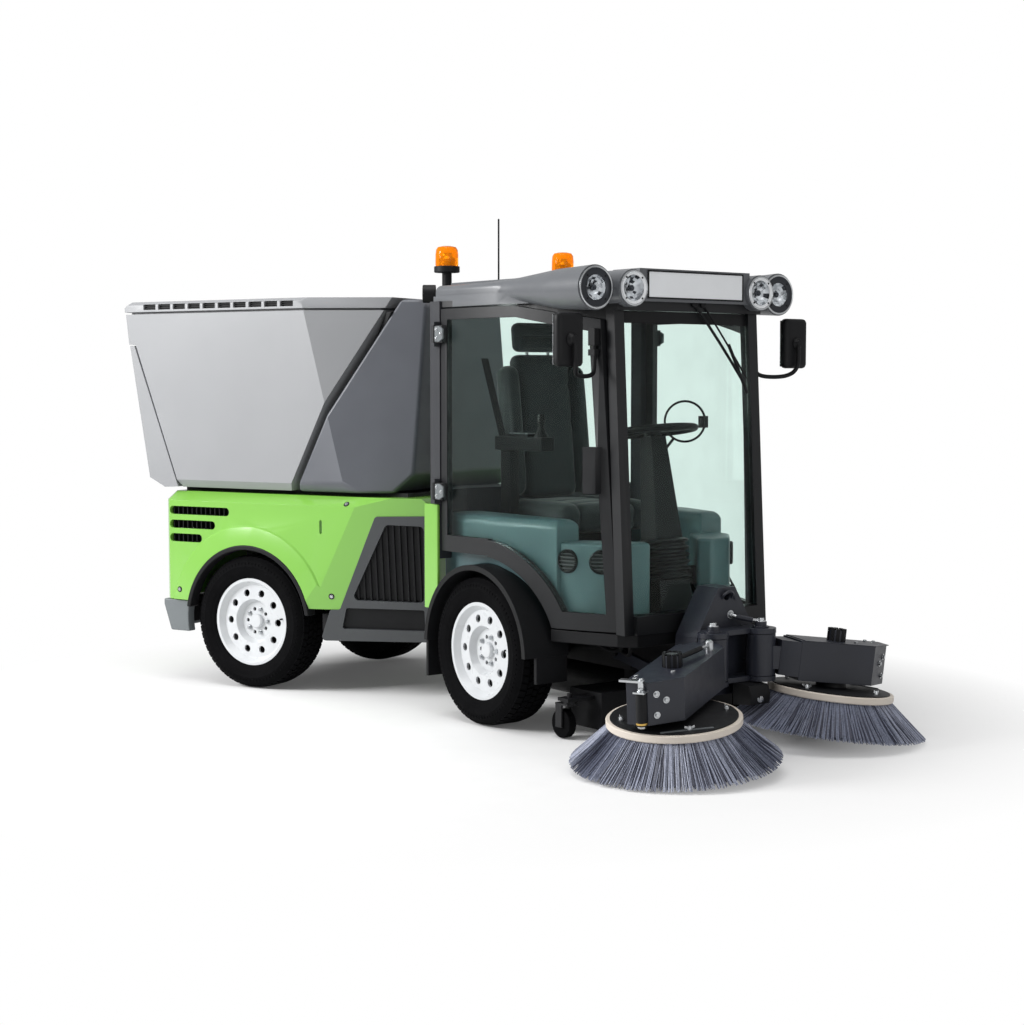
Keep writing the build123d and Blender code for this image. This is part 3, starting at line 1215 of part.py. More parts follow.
COLUMN_FOOT_AT = Vector(COLUMN_FOOT_X, 0, FLOOR_TOP)
WHEEL_AT = Vector(WHEEL_X, 0, WHEEL_Z)
STEER = Plane(origin=WHEEL_AT, x_dir=(0, 1, 0), z_dir=(WHEEL_AT - COLUMN_FOOT_AT).normalized())
with BuildPart() as steering_column:
    with BuildSketch(STEER.offset(-COLUMN_DROP)):
        Rectangle(*COLUMN_HEAD)
    with BuildSketch(Plane.XY.offset(FLOOR_TOP)):
        with Locations((COLUMN_FOOT_X, 0)):
            Rectangle(*COLUMN_FOOT)
    loft()
    with BuildSketch(STEER.offset(-STEER_SHAFT_LOW)):
        Circle(STEER_SHAFT_R)
    extrude(amount=STEER_SHAFT_LOW + STEER_SHAFT_UP)
keep("steering_column", steering_column.part, FRONT)

with BuildPart() as steering_wheel:
    with Locations(STEER.location):
        Torus(STEER_R, STEER_GRIP_R)
        with Locations((0, 0, -STEER_HUB_DROP)):
            Cylinder(STEER_HUB_R, STEER_HUB_H)
    with Locations(STEER.location):
        with PolarLocations(STEER_R / 2, SPOKE_COUNT, start_angle=90):
            Box(STEER_R, *SPOKE)
    with BuildSketch(STEER.offset(-CUT)):
        Circle(STEER_SHAFT_R + PIN_CLEAR)
    extrude(amount=CUT + STEER_SHAFT_UP + LAP, mode=Mode.SUBTRACT)
keep("steering_wheel", steering_wheel.part, FRONT)

with BuildPart() as front_fender:
    drum(FRONT_AXLE, TYRE_R, ARCH_R, -FENDER_IN, -FENDER_OUT)
    drum(FRONT_AXLE, TYRE_R, ARCH_IN_R, -FENDER_IN + CUT, -FENDER_OUT - CUT, mode=Mode.SUBTRACT)
    block(
        FRONT_AXLE - 2 * ARCH_R, FRONT_AXLE + 2 * ARCH_R, CUT - FENDER_IN, -FENDER_OUT - CUT, -TYRE_R,
        FENDER_LOW, mode=Mode.SUBTRACT,
    )
    for flap in (REAR_FLAP, FRONT_FLAP):
        block(flap["x0"], flap["x1"], -flap["y0"], -flap["y1"], flap["low"], FENDER_LOW + FLAP_LAP)
keep("front_fenders", pair(front_fender.part), FRONT)

with BuildPart() as corner_panel:
    block(CORNER_BACK, B_POST_FRONT, -B_POST_OUT, -B_POST_OUT - CORNER_THICK, CORNER_LOW, CORNER_TOP)
    drum(FRONT_AXLE, TYRE_R, ARCH_R + CORNER_GAP, -B_POST_IN, -FENDER_OUT - CUT, mode=Mode.SUBTRACT)
keep("corner_panels", pair(corner_panel.part), FRONT)

# Doors, drawn on the right and mirrored


def door_strip(outer, inner):
    """The curved door as an upright strip between two radii."""
    length = CAB_FRONT - DOOR_BACK + 2 * CUT
    with BuildPart() as body:
        with BuildSketch(Plane.XY.offset(DOOR_LOW - CUT)):
            with Locations((DOOR_ARC_X, DOOR_CENTRE_Y)):
                Circle(outer)
                Circle(inner, mode=Mode.SUBTRACT)
            with Locations((DOOR_BACK - CUT + length / 2, -DOOR_ARC_Y + length / 4)):
                Rectangle(length, length / 2 + 2 * CUT, mode=Mode.INTERSECT)
        extrude(amount=DOOR_TOP_REAR - DOOR_LOW + 2 * CUT)
    return body.part


def door_outline(inset, low_inset):
    """The door seen from the side, drawn in by an inset, as a solid across the right half."""
    with BuildPart() as body:
        with BuildSketch(Plane.XZ):
            with BuildLine():
                Polyline(
                    (DOOR_BACK + inset, DOOR_SHELF + low_inset), (DOOR_SHELF_X, DOOR_SHELF + low_inset),
                    (DOOR_SHELF_X, DOOR_LOW + low_inset), (front_x(DOOR_LOW) - inset, DOOR_LOW + low_inset),
                    (DOOR_FRONT_TOP_X - inset, DOOR_TOP_FRONT - inset),
                    (DOOR_TOP_KNEE_X, DOOR_TOP_REAR - inset),
                    (DOOR_BACK + inset, DOOR_TOP_REAR - inset), close=True,
                )
            make_face()
            with Locations((FRONT_AXLE, TYRE_R)):
                Circle(DOOR_ARCH_R + low_inset, mode=Mode.SUBTRACT)
        extrude(amount=DOOR_ARC_Y + 2 * CUT)
    return body.part


LEAF_OUT = HINGE_Y + MOVE_GAP
LEAF_IN = DOOR_ARC_Y + LEAF_LAP
with BuildPart() as handle:
    add(door_strip(DOOR_R + HANDLE["out"], DOOR_R - EAR_GAP))
    block(
        HANDLE["x"] - HANDLE["wide"] / 2, HANDLE["x"] + HANDLE["wide"] / 2, -DOOR_ARC_Y - CUT, 0,
        HANDLE["low"], HANDLE["high"], mode=Mode.INTERSECT,
    )
with BuildPart() as door_frame:
    add(door_strip(DOOR_R, DOOR_R - DOOR_THICK))
    add(door_outline(0, 0), mode=Mode.INTERSECT)
    add(door_outline(STILE, LOW_STILE), mode=Mode.SUBTRACT)
    for z in HINGE_Z:
        low, high = z - HINGE_LEN / 2, z + HINGE_LEN / 2
        post(HINGE_X, -HINGE_Y, HINGE_R, low, high)
        block(HINGE_X, HINGE_LEAF_X, -LEAF_OUT, -LEAF_IN, low, high)
        block(DOOR_BACK + LEAF_BACK, HINGE_LEAF_X, -LEAF_IN - LEAF_LAP, LEAF_DEEP - LEAF_IN, low, high)
        post(HINGE_X, -HINGE_Y, HINGE_PIN_R + PIN_CLEAR, low - CUT, high + CUT, mode=Mode.SUBTRACT)
    add(handle.part)

with BuildPart() as door_glass:
    add(door_strip(DOOR_R - GLASS_IN, DOOR_R - GLASS_IN - GLASS_THICK))
    add(door_outline(STILE, LOW_STILE), mode=Mode.INTERSECT)

MIRROR_FOOT_Y = door_y(MIRROR_FOOT["x"])
MIRROR_Y = MIRROR_FOOT_Y - MIRROR_OUT
MIRROR_PATH = [
    (MIRROR_FOOT["x"], MIRROR_FOOT_Y - MIRROR_ARM_R, (MIRROR_FOOT["low"] + MIRROR_FOOT["high"]) / 2),
    (MIRROR_FOOT["x"] + 1.5 * MIRROR_ARM_R, MIRROR_FOOT_Y - 2 * MIRROR_ARM_R, MIRROR_ARM_LOW),
    (MIRROR_X - MIRROR_ARM_R, MIRROR_Y + 3 * MIRROR_ARM_R, MIRROR_ARM_LOW), (MIRROR_X, MIRROR_Y, MIRROR_Z),
]
with BuildPart() as door_mirror:
    with BuildLine() as mirror_path:
        FilletPolyline(*MIRROR_PATH, radius=MIRROR_ARM_BEND)
    with BuildSketch(Plane(origin=mirror_path.line @ 0, z_dir=mirror_path.line % 0)):
        Circle(MIRROR_ARM_R)
    sweep()
    with Locations((MIRROR_X, MIRROR_Y, MIRROR_Z)):
        Box(MIRROR_DEEP, MIRROR_WIDE, MIRROR_HIGH)
    fillet(door_mirror.edges().filter_by(Axis.X), MIRROR_ROUND)
    block(
        MIRROR_FOOT["x"] - MIRROR_FOOT["wide"] / 2, MIRROR_FOOT["x"] + MIRROR_FOOT["wide"] / 2,
        MIRROR_FOOT_Y - MIRROR_FOOT["out"], MIRROR_FOOT_Y + MIRROR_FOOT["out"], MIRROR_FOOT["low"],
        MIRROR_FOOT["high"],
    )
    add(door_strip(DOOR_R, DOOR_R - 3 * DOOR_THICK), mode=Mode.SUBTRACT)

DOOR_PIECES = {"door_frame": door_frame.part, "door_glass": door_glass.part, "door_mirror": door_mirror.part}
for piece, part in DOOR_PIECES.items():
    keep(f"{piece}_right", part, FRONT)
    keep(f"{piece}_left", mirror(part, about=Plane.XZ), FRONT)

# Lift arms and brush tower
LIFT_END_X = LIFT_X + sqrt(LIFT_LEN ** 2 - LIFT_DROP ** 2)
LIFT_END_Z = LIFT_Z - LIFT_DROP
with BuildPart() as lift_arm:
    with BuildSketch(Plane.XZ.offset(LIFT_Y - LIFT_ARM_W / 2)):
        with BuildLine():
            Line((LIFT_X, LIFT_Z), (LIFT_END_X, LIFT_END_Z))
        trace(line_width=LIFT_ARM_H)
        with Locations((LIFT_X, LIFT_Z), (LIFT_END_X, LIFT_END_Z)):
            Circle(LIFT_EYE_R)
            Circle(LIFT_PIN_R + PIN_CLEAR, mode=Mode.SUBTRACT)
    extrude(amount=LIFT_ARM_W)
keep("lift_arms", pair(lift_arm.part), FRONT)

RIGHT_PIN, LEFT_PIN = BRUSH_ROWS["right"], BRUSH_ROWS["left"]
EAR_MID = LIFT_ARM_W / 2 + LIFT_EAR_GAP + LIFT_EAR / 2      # ear centre from the arm's middle
with BuildPart() as brush_tower:
    with BuildSketch(Plane.YZ.offset(TOWER_BACK)):
        with BuildLine():
            Polyline(*TOWER_OUTLINE, close=True)
        make_face()
    extrude(amount=TOWER_FRONT - TOWER_BACK)
    with BuildSketch(Plane.YZ.offset(TOWER_BACK - CUT)):
        with BuildLine():
            Polyline(*TOWER_POCKET, close=True)
        make_face()
    extrude(amount=TOWER_FRONT - TOWER_WALL - TOWER_BACK + CUT, mode=Mode.SUBTRACT)
    block(
        TOWER_BACK - CUT, TOWER_FOOT_BACK, -BODY_HALF_W, BODY_HALF_W, TOWER_LOW - CUT, TOWER_NOTCH_Z,
        mode=Mode.SUBTRACT,
    )
    barrel(0, EYE_Z, EYE_R, TOWER_BACK - CUT, TOWER_FRONT + CUT, mode=Mode.SUBTRACT)
    for sign in SIDES.values():
        for y in (LIFT_Y - EAR_MID, LIFT_Y + EAR_MID):
            block(
                LIFT_END_X - LIFT_EYE_R, TOWER_FOOT_BACK + TOWER_LAP, sign * (y - LIFT_EAR / 2),
                sign * (y + LIFT_EAR / 2),
                LIFT_END_Z - LIFT_EYE_R, LIFT_END_Z + LIFT_EAR_UP,
            )
        drum(LIFT_END_X, LIFT_END_Z, LIFT_PIN_R, sign * (LIFT_Y - EAR_MID), sign * (LIFT_Y + EAR_MID))
    for low in (CLEVIS_LOW, CLEVIS_HIGH):
        add(slab([
            (TOWER_FRONT - TOWER_LAP, -CLEVIS_ROOT), (RIGHT_PIN["pin_x"], RIGHT_PIN["pin_y"] - CLEVIS_R),
            (LEFT_PIN["pin_x"], LEFT_PIN["pin_y"] + CLEVIS_R), (TOWER_FRONT - TOWER_LAP, CLEVIS_ROOT),
        ], low, low + CLEVIS_THICK))
        for row in BRUSH_ROWS.values():
            post(row["pin_x"], row["pin_y"], CLEVIS_R, low, low + CLEVIS_THICK)
    for row in BRUSH_ROWS.values():
        post(row["pin_x"], row["pin_y"], ARM_PIN_R, CLEVIS_LOW, CLEVIS_HIGH + CLEVIS_THICK)
keep("brush_tower", brush_tower.part, FRONT)

# Brush arms, discs and bristle skirts, each tilted with its outer side low
tilt = radians(BRUSH_TILT)
TIP_DROP = (RING_Z - TIP_R * sin(tilt) - BRISTLE_LOW) / cos(tilt)
with BuildPart() as bristles:
    with BuildSketch(Plane.XZ):
        with BuildLine():
            Polyline(
                (BRISTLE_ROOT_R, -RING_H / 2), (RING_R - BRISTLE_EDGE, -RING_H / 2), (TIP_R, -TIP_DROP),
                (TIP_R - TIP_IN, BRISTLE_EDGE - TIP_DROP), close=True,
            )
        make_face()
    revolve(axis=Axis.Z)
    with Locations((0, 0, -RING_H / 2 - TUFT_BAND - TIP_DROP / 2)):
        with PolarLocations(TIP_R, TUFT_COUNT):
            Box(2 * (TIP_R - BRISTLE_ROOT_R), TUFT_GAP, TIP_DROP, mode=Mode.SUBTRACT)

for side, row in BRUSH_ROWS.items():
    reach = hypot(row["x"] - row["pin_x"], row["y"] - row["pin_y"])
    dx, dy = (row["x"] - row["pin_x"]) / reach, (row["y"] - row["pin_y"]) / reach
    local = Plane(
        origin=(row["x"], row["y"], RING_Z), x_dir=(cos(tilt) * dx, cos(tilt) * dy, -sin(tilt)),
        z_dir=(sin(tilt) * dx, sin(tilt) * dy, cos(tilt)),
    )
    front = row["ahead"] * ARM_W / 2
    with BuildPart() as arm:
        with BuildSketch(local.offset(ARM_UP)):
            with BuildLine():
                Polyline(
                    (ARM_START - reach, -front), (ARM_END, -front),
                    (ARM_END, front - row["ahead"] * ARM_CORNER),
                    (ARM_END - ARM_CORNER, front), (ARM_START - reach, front), close=True,
                )
            make_face()
        extrude(amount=ARM_H)
        with BuildSketch(local.offset(ARM_UP + NECK_IN)):
            with Locations(((ARM_START + NECK_LAP) / 2 - reach, 0)):
                Rectangle(ARM_START + NECK_LAP, NECK_W)
        extrude(amount=ARM_H - 2 * NECK_IN)
        post(
            row["pin_x"], row["pin_y"], ARM_BOSS_R, CLEVIS_LOW + CLEVIS_THICK + CLEVIS_GAP,
            CLEVIS_HIGH - CLEVIS_GAP,
        )
        post(row["pin_x"], row["pin_y"], ARM_PIN_R + PIN_CLEAR, 0, CLEVIS_HIGH + CUT, mode=Mode.SUBTRACT)
        with BuildSketch(local.offset(ARM_UP + ARM_H)):
            Circle(MOTOR_R)
        extrude(amount=MOTOR_H)
        with BuildSketch(local):
            Circle(SHAFT_R)
        extrude(amount=ARM_UP + SHAFT_LAP)
    keep(f"brush_arm_{side}", arm.part, FRONT)
    with BuildPart() as disc:
        with BuildSketch(local.offset(-RING_H / 2)):
            Circle(RING_R)
        extrude(amount=RING_H / 2 + DISC_UP)
        with BuildSketch(local):
            Circle(DISC_HUB_R)
        extrude(amount=ARM_UP - SEAT_GAP)
        with BuildSketch(local.offset(-DISC_UP)):
            Circle(SHAFT_R + PIN_CLEAR)
        extrude(amount=ARM_UP + CUT, mode=Mode.SUBTRACT)
    keep(f"brush_disc_{side}", disc.part, FRONT)
    keep(f"brush_bristles_{side}", bristles.part, FRONT * local.location)

# Suction mouth with its duct, and the casters that carry it
with BuildPart() as suction_mouth:
    block(MOUTH_BACK, MOUTH_FRONT, -MOUTH_HALF_W, MOUTH_HALF_W, MOUTH_LOW, MOUTH_TOP)
    block(
        MOUTH_BACK + MOUTH_WALL, MOUTH_FRONT - MOUTH_WALL, MOUTH_WALL - MOUTH_HALF_W,
        MOUTH_HALF_W - MOUTH_WALL,
        MOUTH_LOW - CUT, MOUTH_TOP - MOUTH_ROOF, mode=Mode.SUBTRACT,
    )
    block(
        HANGER["back"], HANGER["front"], -HANGER["half_w"], HANGER["half_w"], MOUTH_TOP - BRACKET_LAP,
        SPINE_LOW,
    )
    barrel(0, DUCT_Z, DUCT_R, DUCT_BACK, MOUTH_BACK + BRACKET_LAP)
    barrel(0, DUCT_Z, DUCT_COLLAR_R, DUCT_BACK, DUCT_BACK + DUCT_COLLAR)
    barrel(0, DUCT_Z, DUCT_R - DUCT_WALL, DUCT_BACK - CUT, MOUTH_BACK + CUT, mode=Mode.SUBTRACT)
    block(
        DUCT_STRAP["back"], DUCT_STRAP["front"], -DUCT_STRAP["half_w"], DUCT_STRAP["half_w"],
        DUCT_STRAP["low"], SPINE_LOW,
    )
    for sign in SIDES.values():
        block(
            CASTER_X - BRACKET_HALF, CASTER_X + BRACKET_HALF, sign * (MOUTH_HALF_W - BRACKET_LAP),
            sign * (CASTER_Y + BRACKET_HALF), BRACKET_LOW, BRACKET_LOW + BRACKET_THICK,
        )
        post(
            CASTER_X, sign * CASTER_Y, STEM_R + PIN_CLEAR, BRACKET_LOW - CUT, BRACKET_LOW + CUT,
            mode=Mode.SUBTRACT,
        )
keep("suction_mouth", suction_mouth.part, FRONT)

ROLLER_X = CASTER_X - CASTER_TRAIL
for side, sign in SIDES.items():
    y = sign * CASTER_Y
    with BuildPart() as fork:
        post(CASTER_X, y, SWIVEL_R, BRACKET_LOW - SWIVEL_H, BRACKET_LOW - SEAT_GAP)
        post(CASTER_X, y, STEM_R, BRACKET_LOW - SWIVEL_H, BRACKET_LOW + STEM_UP)
        block(
            ROLLER_X - FORK_BACK, CASTER_X + FORK_AHEAD, y - FORK_HALF_W, y + FORK_HALF_W,
            BRACKET_LOW - FORK_TOP, BRACKET_LOW - FORK_TOP + FORK_PLATE,
        )
        for leg in (y - LEG_Y, y + LEG_Y):
            block(
                ROLLER_X - LEG_HALF, ROLLER_X + LEG_HALF, leg - LEG_THICK / 2, leg + LEG_THICK / 2,
                CASTER_Z - LEG_LOW, BRACKET_LOW - SWIVEL_H,
            )
        drum(ROLLER_X, CASTER_Z, ROLLER_PIN_R, y - LEG_Y, y + LEG_Y)
    keep(f"caster_fork_{side}", fork.part, FRONT)
    with BuildPart() as roller:
        drum(ROLLER_X, CASTER_Z, CASTER_R, y - CASTER_HALF_W, y + CASTER_HALF_W)
        drum(ROLLER_X, CASTER_Z, ROLLER_PIN_R + PIN_CLEAR, y - CASTER_R, y + CASTER_R, mode=Mode.SUBTRACT)
    keep(f"caster_wheel_{side}", roller.part, FRONT)
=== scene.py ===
"""Looks of an articulated compact sweeper, laid out as a Blender add-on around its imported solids.

Every piece is drawn in metres. Pieces of the rear module are drawn from the waist pivot, X forward;
pieces of the front module are drawn the same way and then turned by the bend of the waist.
"""
import json
import math
import random

import bmesh
import bpy
from mathutils import Color, Matrix, Vector
from mathutils.bvhtree import BVHTree

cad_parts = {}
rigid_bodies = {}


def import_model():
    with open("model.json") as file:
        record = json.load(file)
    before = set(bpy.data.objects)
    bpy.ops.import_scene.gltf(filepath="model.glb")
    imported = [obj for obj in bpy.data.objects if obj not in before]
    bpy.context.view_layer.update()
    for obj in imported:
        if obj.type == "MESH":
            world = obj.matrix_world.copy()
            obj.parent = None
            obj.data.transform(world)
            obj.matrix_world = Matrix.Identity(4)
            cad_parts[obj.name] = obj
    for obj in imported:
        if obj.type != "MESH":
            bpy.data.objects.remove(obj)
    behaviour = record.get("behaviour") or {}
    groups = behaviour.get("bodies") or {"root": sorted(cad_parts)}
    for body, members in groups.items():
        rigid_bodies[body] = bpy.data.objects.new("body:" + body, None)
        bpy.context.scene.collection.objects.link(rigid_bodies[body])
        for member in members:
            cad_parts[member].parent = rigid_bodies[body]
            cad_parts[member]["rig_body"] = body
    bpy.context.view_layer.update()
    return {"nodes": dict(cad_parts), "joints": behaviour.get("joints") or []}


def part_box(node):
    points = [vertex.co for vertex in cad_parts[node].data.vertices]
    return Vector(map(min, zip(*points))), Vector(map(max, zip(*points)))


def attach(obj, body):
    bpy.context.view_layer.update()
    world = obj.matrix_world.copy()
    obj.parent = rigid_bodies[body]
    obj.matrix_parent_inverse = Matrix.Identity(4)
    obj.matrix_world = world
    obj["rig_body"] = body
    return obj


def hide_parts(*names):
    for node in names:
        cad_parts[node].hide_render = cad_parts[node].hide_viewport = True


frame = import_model()

bl_info = {
    "name": "Compact sweeper",
    "version": (1, 0, 0),
    "blender": (4, 5, 0),
    "location": "View3D > Sidebar > Sweeper",
    "description": "Builds the finished look of an articulated compact sweeper around its solids",
    "category": "Object",
}

# Places taken from the frame
JOINTS = {joint["name"]: joint for joint in frame["joints"]}
BODY_OF = {name: node["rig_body"] for name, node in frame["nodes"].items()}
PIVOT = Vector(JOINTS["waist"]["pos_m"])
FRONT_ACROSS = Vector(JOINTS["roll_front_right"]["axis"])
BEND = math.atan2(FRONT_ACROSS.x, FRONT_ACROSS.y)
REAR = Matrix.Translation((PIVOT.x, PIVOT.y, 0))
FRONT = REAR @ Matrix.Rotation(-BEND, 4, "Z")
SIDES = {"right": -1, "left": 1}
CORNERS = ("front_right", "front_left", "rear_right", "rear_left")


def colour_property(name, text, red, green, blue):
    """A colour that a user may change, written as it shows on a screen."""
    return bpy.props.FloatVectorProperty(
        name=name, description=text, default=(red, green, blue), min=0, max=1, size=3, subtype="COLOR_GAMMA",
    )


def length_property(name, text, value):
    """A length in metres that a user may change."""
    return bpy.props.FloatProperty(
        name=name, description=text, default=value, min=0, subtype="DISTANCE", unit="LENGTH",
    )


class SweeperColours(bpy.types.PropertyGroup):
    """Colours of the sweeper's finishes."""

    green_panel: colour_property("Green panel", "Gloss paint of the rear body", 0.475, 0.705, 0.275)
    grey_panel: colour_property("Hopper", "Satin moulding of the hopper", 0.555, 0.56, 0.57)
    # painted shade: the tank is darker than the hopper so that its front-turned faces look shaded
    grey_dark_panel: colour_property("Tank", "Satin moulding of the tank", 0.35, 0.36, 0.385)
    bumper_grey: colour_property("Bumper", "Moulded rear bumper corners", 0.41, 0.43, 0.44)
    sill_grey: colour_property("Side trim", "Moulded frames of the side grilles", 0.25, 0.26, 0.27)
    roof_grey: colour_property("Roof", "Satin roof moulding", 0.37, 0.38, 0.395)
    cab_black: colour_property("Cab frame", "Powder coat of the cab posts and doors", 0.085, 0.09, 0.10)
    black_steel: colour_property("Brush gear", "Powder coat of the brush gear", 0.15, 0.16, 0.195)
    black_plastic: colour_property("Black plastic", "Grained black plastic", 0.075, 0.077, 0.085)
    frame_steel: colour_property("Chassis", "Chassis paint", 0.10, 0.10, 0.11)
    engine_grey: colour_property("Engine", "Cast engine block", 0.22, 0.22, 0.23)
    tyre_rubber: colour_property("Tyre", "Tyre rubber", 0.055, 0.055, 0.06)
    rim_white: colour_property("Wheel", "White wheel paint", 0.80, 0.81, 0.82)
    glass_tint: colour_property("Glass", "Tint of one pane", 0.92, 0.965, 0.95)
    cab_trim: colour_property("Cab trim", "Moulded trim inside the cab", 0.29, 0.39, 0.405)
    seat_cloth: colour_property("Seat", "Woven seat cover", 0.105, 0.13, 0.14)
    bristle: colour_property("Bristles", "Sweeping bristles", 0.57, 0.59, 0.66)
    # also colours the dark cone in the skirt, which is partly painted shade
    bristle_dark: colour_property("Dark bristles", "Darker bristles between the light ones", 0.33, 0.34, 0.40)
    brush_ring: colour_property("Brush ring", "Cream ring of the brushes", 0.87, 0.83, 0.78)
    beacon_amber: colour_property("Beacon", "Amber beacon dome", 0.98, 0.55, 0.06)
    tail_lens: colour_property("Tail lamp", "Red lamp lens", 0.62, 0.06, 0.05)
    plate_white: colour_property("Plate", "Blank front plate", 0.96, 0.97, 0.98)
    lamp_lens: colour_property("Lamp lens", "Clear lens of the work lamps", 0.93, 0.94, 0.95)
    zinc: colour_property("Zinc", "Bolts and small fittings", 0.74, 0.75, 0.76)
    lamp_ring: colour_property("Lamp ring", "Dark face of the work lamps", 0.20, 0.21, 0.23)
    # painted reflection: the bowl is near white and only partly metal, so that it shows bright without
    # mirroring
    reflector: colour_property("Reflector", "Bowl of the work lamps", 0.93, 0.94, 0.95)
    post_grey: colour_property("Rear posts", "Grey posts beside the hinges", 0.20, 0.205, 0.22)
    brass: colour_property("Brass", "Brass ring of the spring", 0.80, 0.66, 0.36)


class SweeperSizes(bpy.types.PropertyGroup):
    """Sizes of the details that are added to the solids."""

    panel_edge: length_property("Panel edge", "Rounding of the large mouldings", 0.010)
    steel_edge: length_property("Steel edge", "Rounding of bent and welded steel", 0.004)
    tread_depth: length_property("Tread depth", "Depth of the tyre grooves", 0.008)
    bristle_width: length_property("Bristle width", "Thickness of one bristle", 0.0044)
    tread_blocks: bpy.props.IntProperty(
        name="Tread blocks", description="Blocks in each row of the tread", default=58, min=12,
    )
    bristle_count: bpy.props.IntProperty(
        name="Bristles", description="Bristles in each row of a brush", default=560, min=20,
    )


# Finishes

GRAIN_HEIGHT = 0.001
LACQUER_ROUGH = 0.14
# Less than real glass has, so that the panes mirror and bend little
PANE_IOR = 1.16


def linear(colour):
    """A colour as it shows on a screen, turned into light."""
    return (*Color(colour).from_srgb_to_scene_linear(), 1.0)


def mottle(tree, scale, detail=3.0):
    """A soft noise over the piece, in its own metres."""
    place = tree.nodes.new("ShaderNodeTexCoord")
    noise = tree.nodes.new("ShaderNodeTexNoise")
    noise.inputs["Scale"].default_value = scale
    noise.inputs["Detail"].default_value = detail
    tree.links.new(place.outputs["Object"], noise.inputs["Vector"])
    return noise.outputs["Fac"]


def shade_between(tree, amount, dark, light):
    """A colour that drifts between two shades."""
    ramp = tree.nodes.new("ShaderNodeValToRGB")
    ramp.color_ramp.elements[0].position = 0.3
    ramp.color_ramp.elements[1].position = 0.7
    ramp.color_ramp.elements[0].color = dark
    ramp.color_ramp.elements[1].color = light
    tree.links.new(amount, ramp.inputs["Fac"])
    return ramp.outputs["Color"]


def number_between(tree, amount, low, high, start=0.3, stop=0.7):
    """A number that drifts between two limits."""
    limits = tree.nodes.new("ShaderNodeMapRange")
    limits.inputs["From Min"].default_value = start
    limits.inputs["From Max"].default_value = stop
    limits.inputs["To Min"].default_value = low
    limits.inputs["To Max"].default_value = high
    tree.links.new(amount, limits.inputs["Value"])
    return limits.outputs["Result"]


def coat(name, colour, rough, drift=0.06, drift_scale=6.0, grain=900.0, relief=0.04, metal=0.0, lacquer=0.0,
         shine=0.5, wander=0.12):
    """An opaque finish: drifting colour, drifting gloss and a fine grain that stands up from the surface."""
    made = bpy.data.materials.new("finish_" + name)
    made.use_nodes = True
    tree = made.node_tree
    surface = tree.nodes["Principled BSDF"]
    base = linear(colour)
    dark = (*[c * (1 - drift) for c in base[:3]], 1.0)
    light = (*[min(1.0, c * (1 + drift)) for c in base[:3]], 1.0)
    cloud = mottle(tree, drift_scale)
    tree.links.new(shade_between(tree, cloud, dark, light), surface.inputs["Base Color"])
    gloss = number_between(tree, mottle(tree, drift_scale * 3), rough * (1 - wander), rough * (1 + wander))
    tree.links.new(gloss, surface.inputs["Roughness"])
    if relief:
        bump = tree.nodes.new("ShaderNodeBump")
        bump.inputs["Strength"].default_value = relief
        bump.inputs["Distance"].default_value = GRAIN_HEIGHT
        tree.links.new(mottle(tree, grain, 1.0), bump.inputs["Height"])
        tree.links.new(bump.outputs["Normal"], surface.inputs["Normal"])
    surface.inputs["Metallic"].default_value = metal
    surface.inputs["Coat Weight"].default_value = lacquer
    surface.inputs["Coat Roughness"].default_value = LACQUER_ROUGH
    surface.inputs["Specular IOR Level"].default_value = shine
    return made


def clear(name, colour, rough=0.0, through=1.0, glow=0.0):
    """A clear or tinted pane, with a faint drift in its tint."""
    made = coat(name, colour, rough, drift=0.02, relief=0.0)
    surface = made.node_tree.nodes["Principled BSDF"]
    surface.inputs["Transmission Weight"].default_value = through
    surface.inputs["IOR"].default_value = PANE_IOR
    if glow:
        surface.inputs["Emission Color"].default_value = linear(colour)
        surface.inputs["Emission Strength"].default_value = glow
    return made


def weave(name, colour, rough):
    """A woven cover: fine crossing ribs."""
    made = coat(name, colour, rough, drift=0.10, drift_scale=14.0)
    tree = made.node_tree
    tree.nodes["Principled BSDF"].inputs["Sheen Weight"].default_value = 0.25
    place = tree.nodes.new("ShaderNodeTexCoord")
    ribs = tree.nodes.new("ShaderNodeTexWave")
    ribs.inputs["Scale"].default_value = 140.0
    ribs.inputs["Distortion"].default_value = 0.6
    tree.links.new(place.outputs["Object"], ribs.inputs["Vector"])
    bump = next(node for node in tree.nodes if node.type == "BUMP")
    bump.inputs["Strength"].default_value = 0.35
    tree.links.new(ribs.outputs["Fac"], bump.inputs["Height"])
    return made


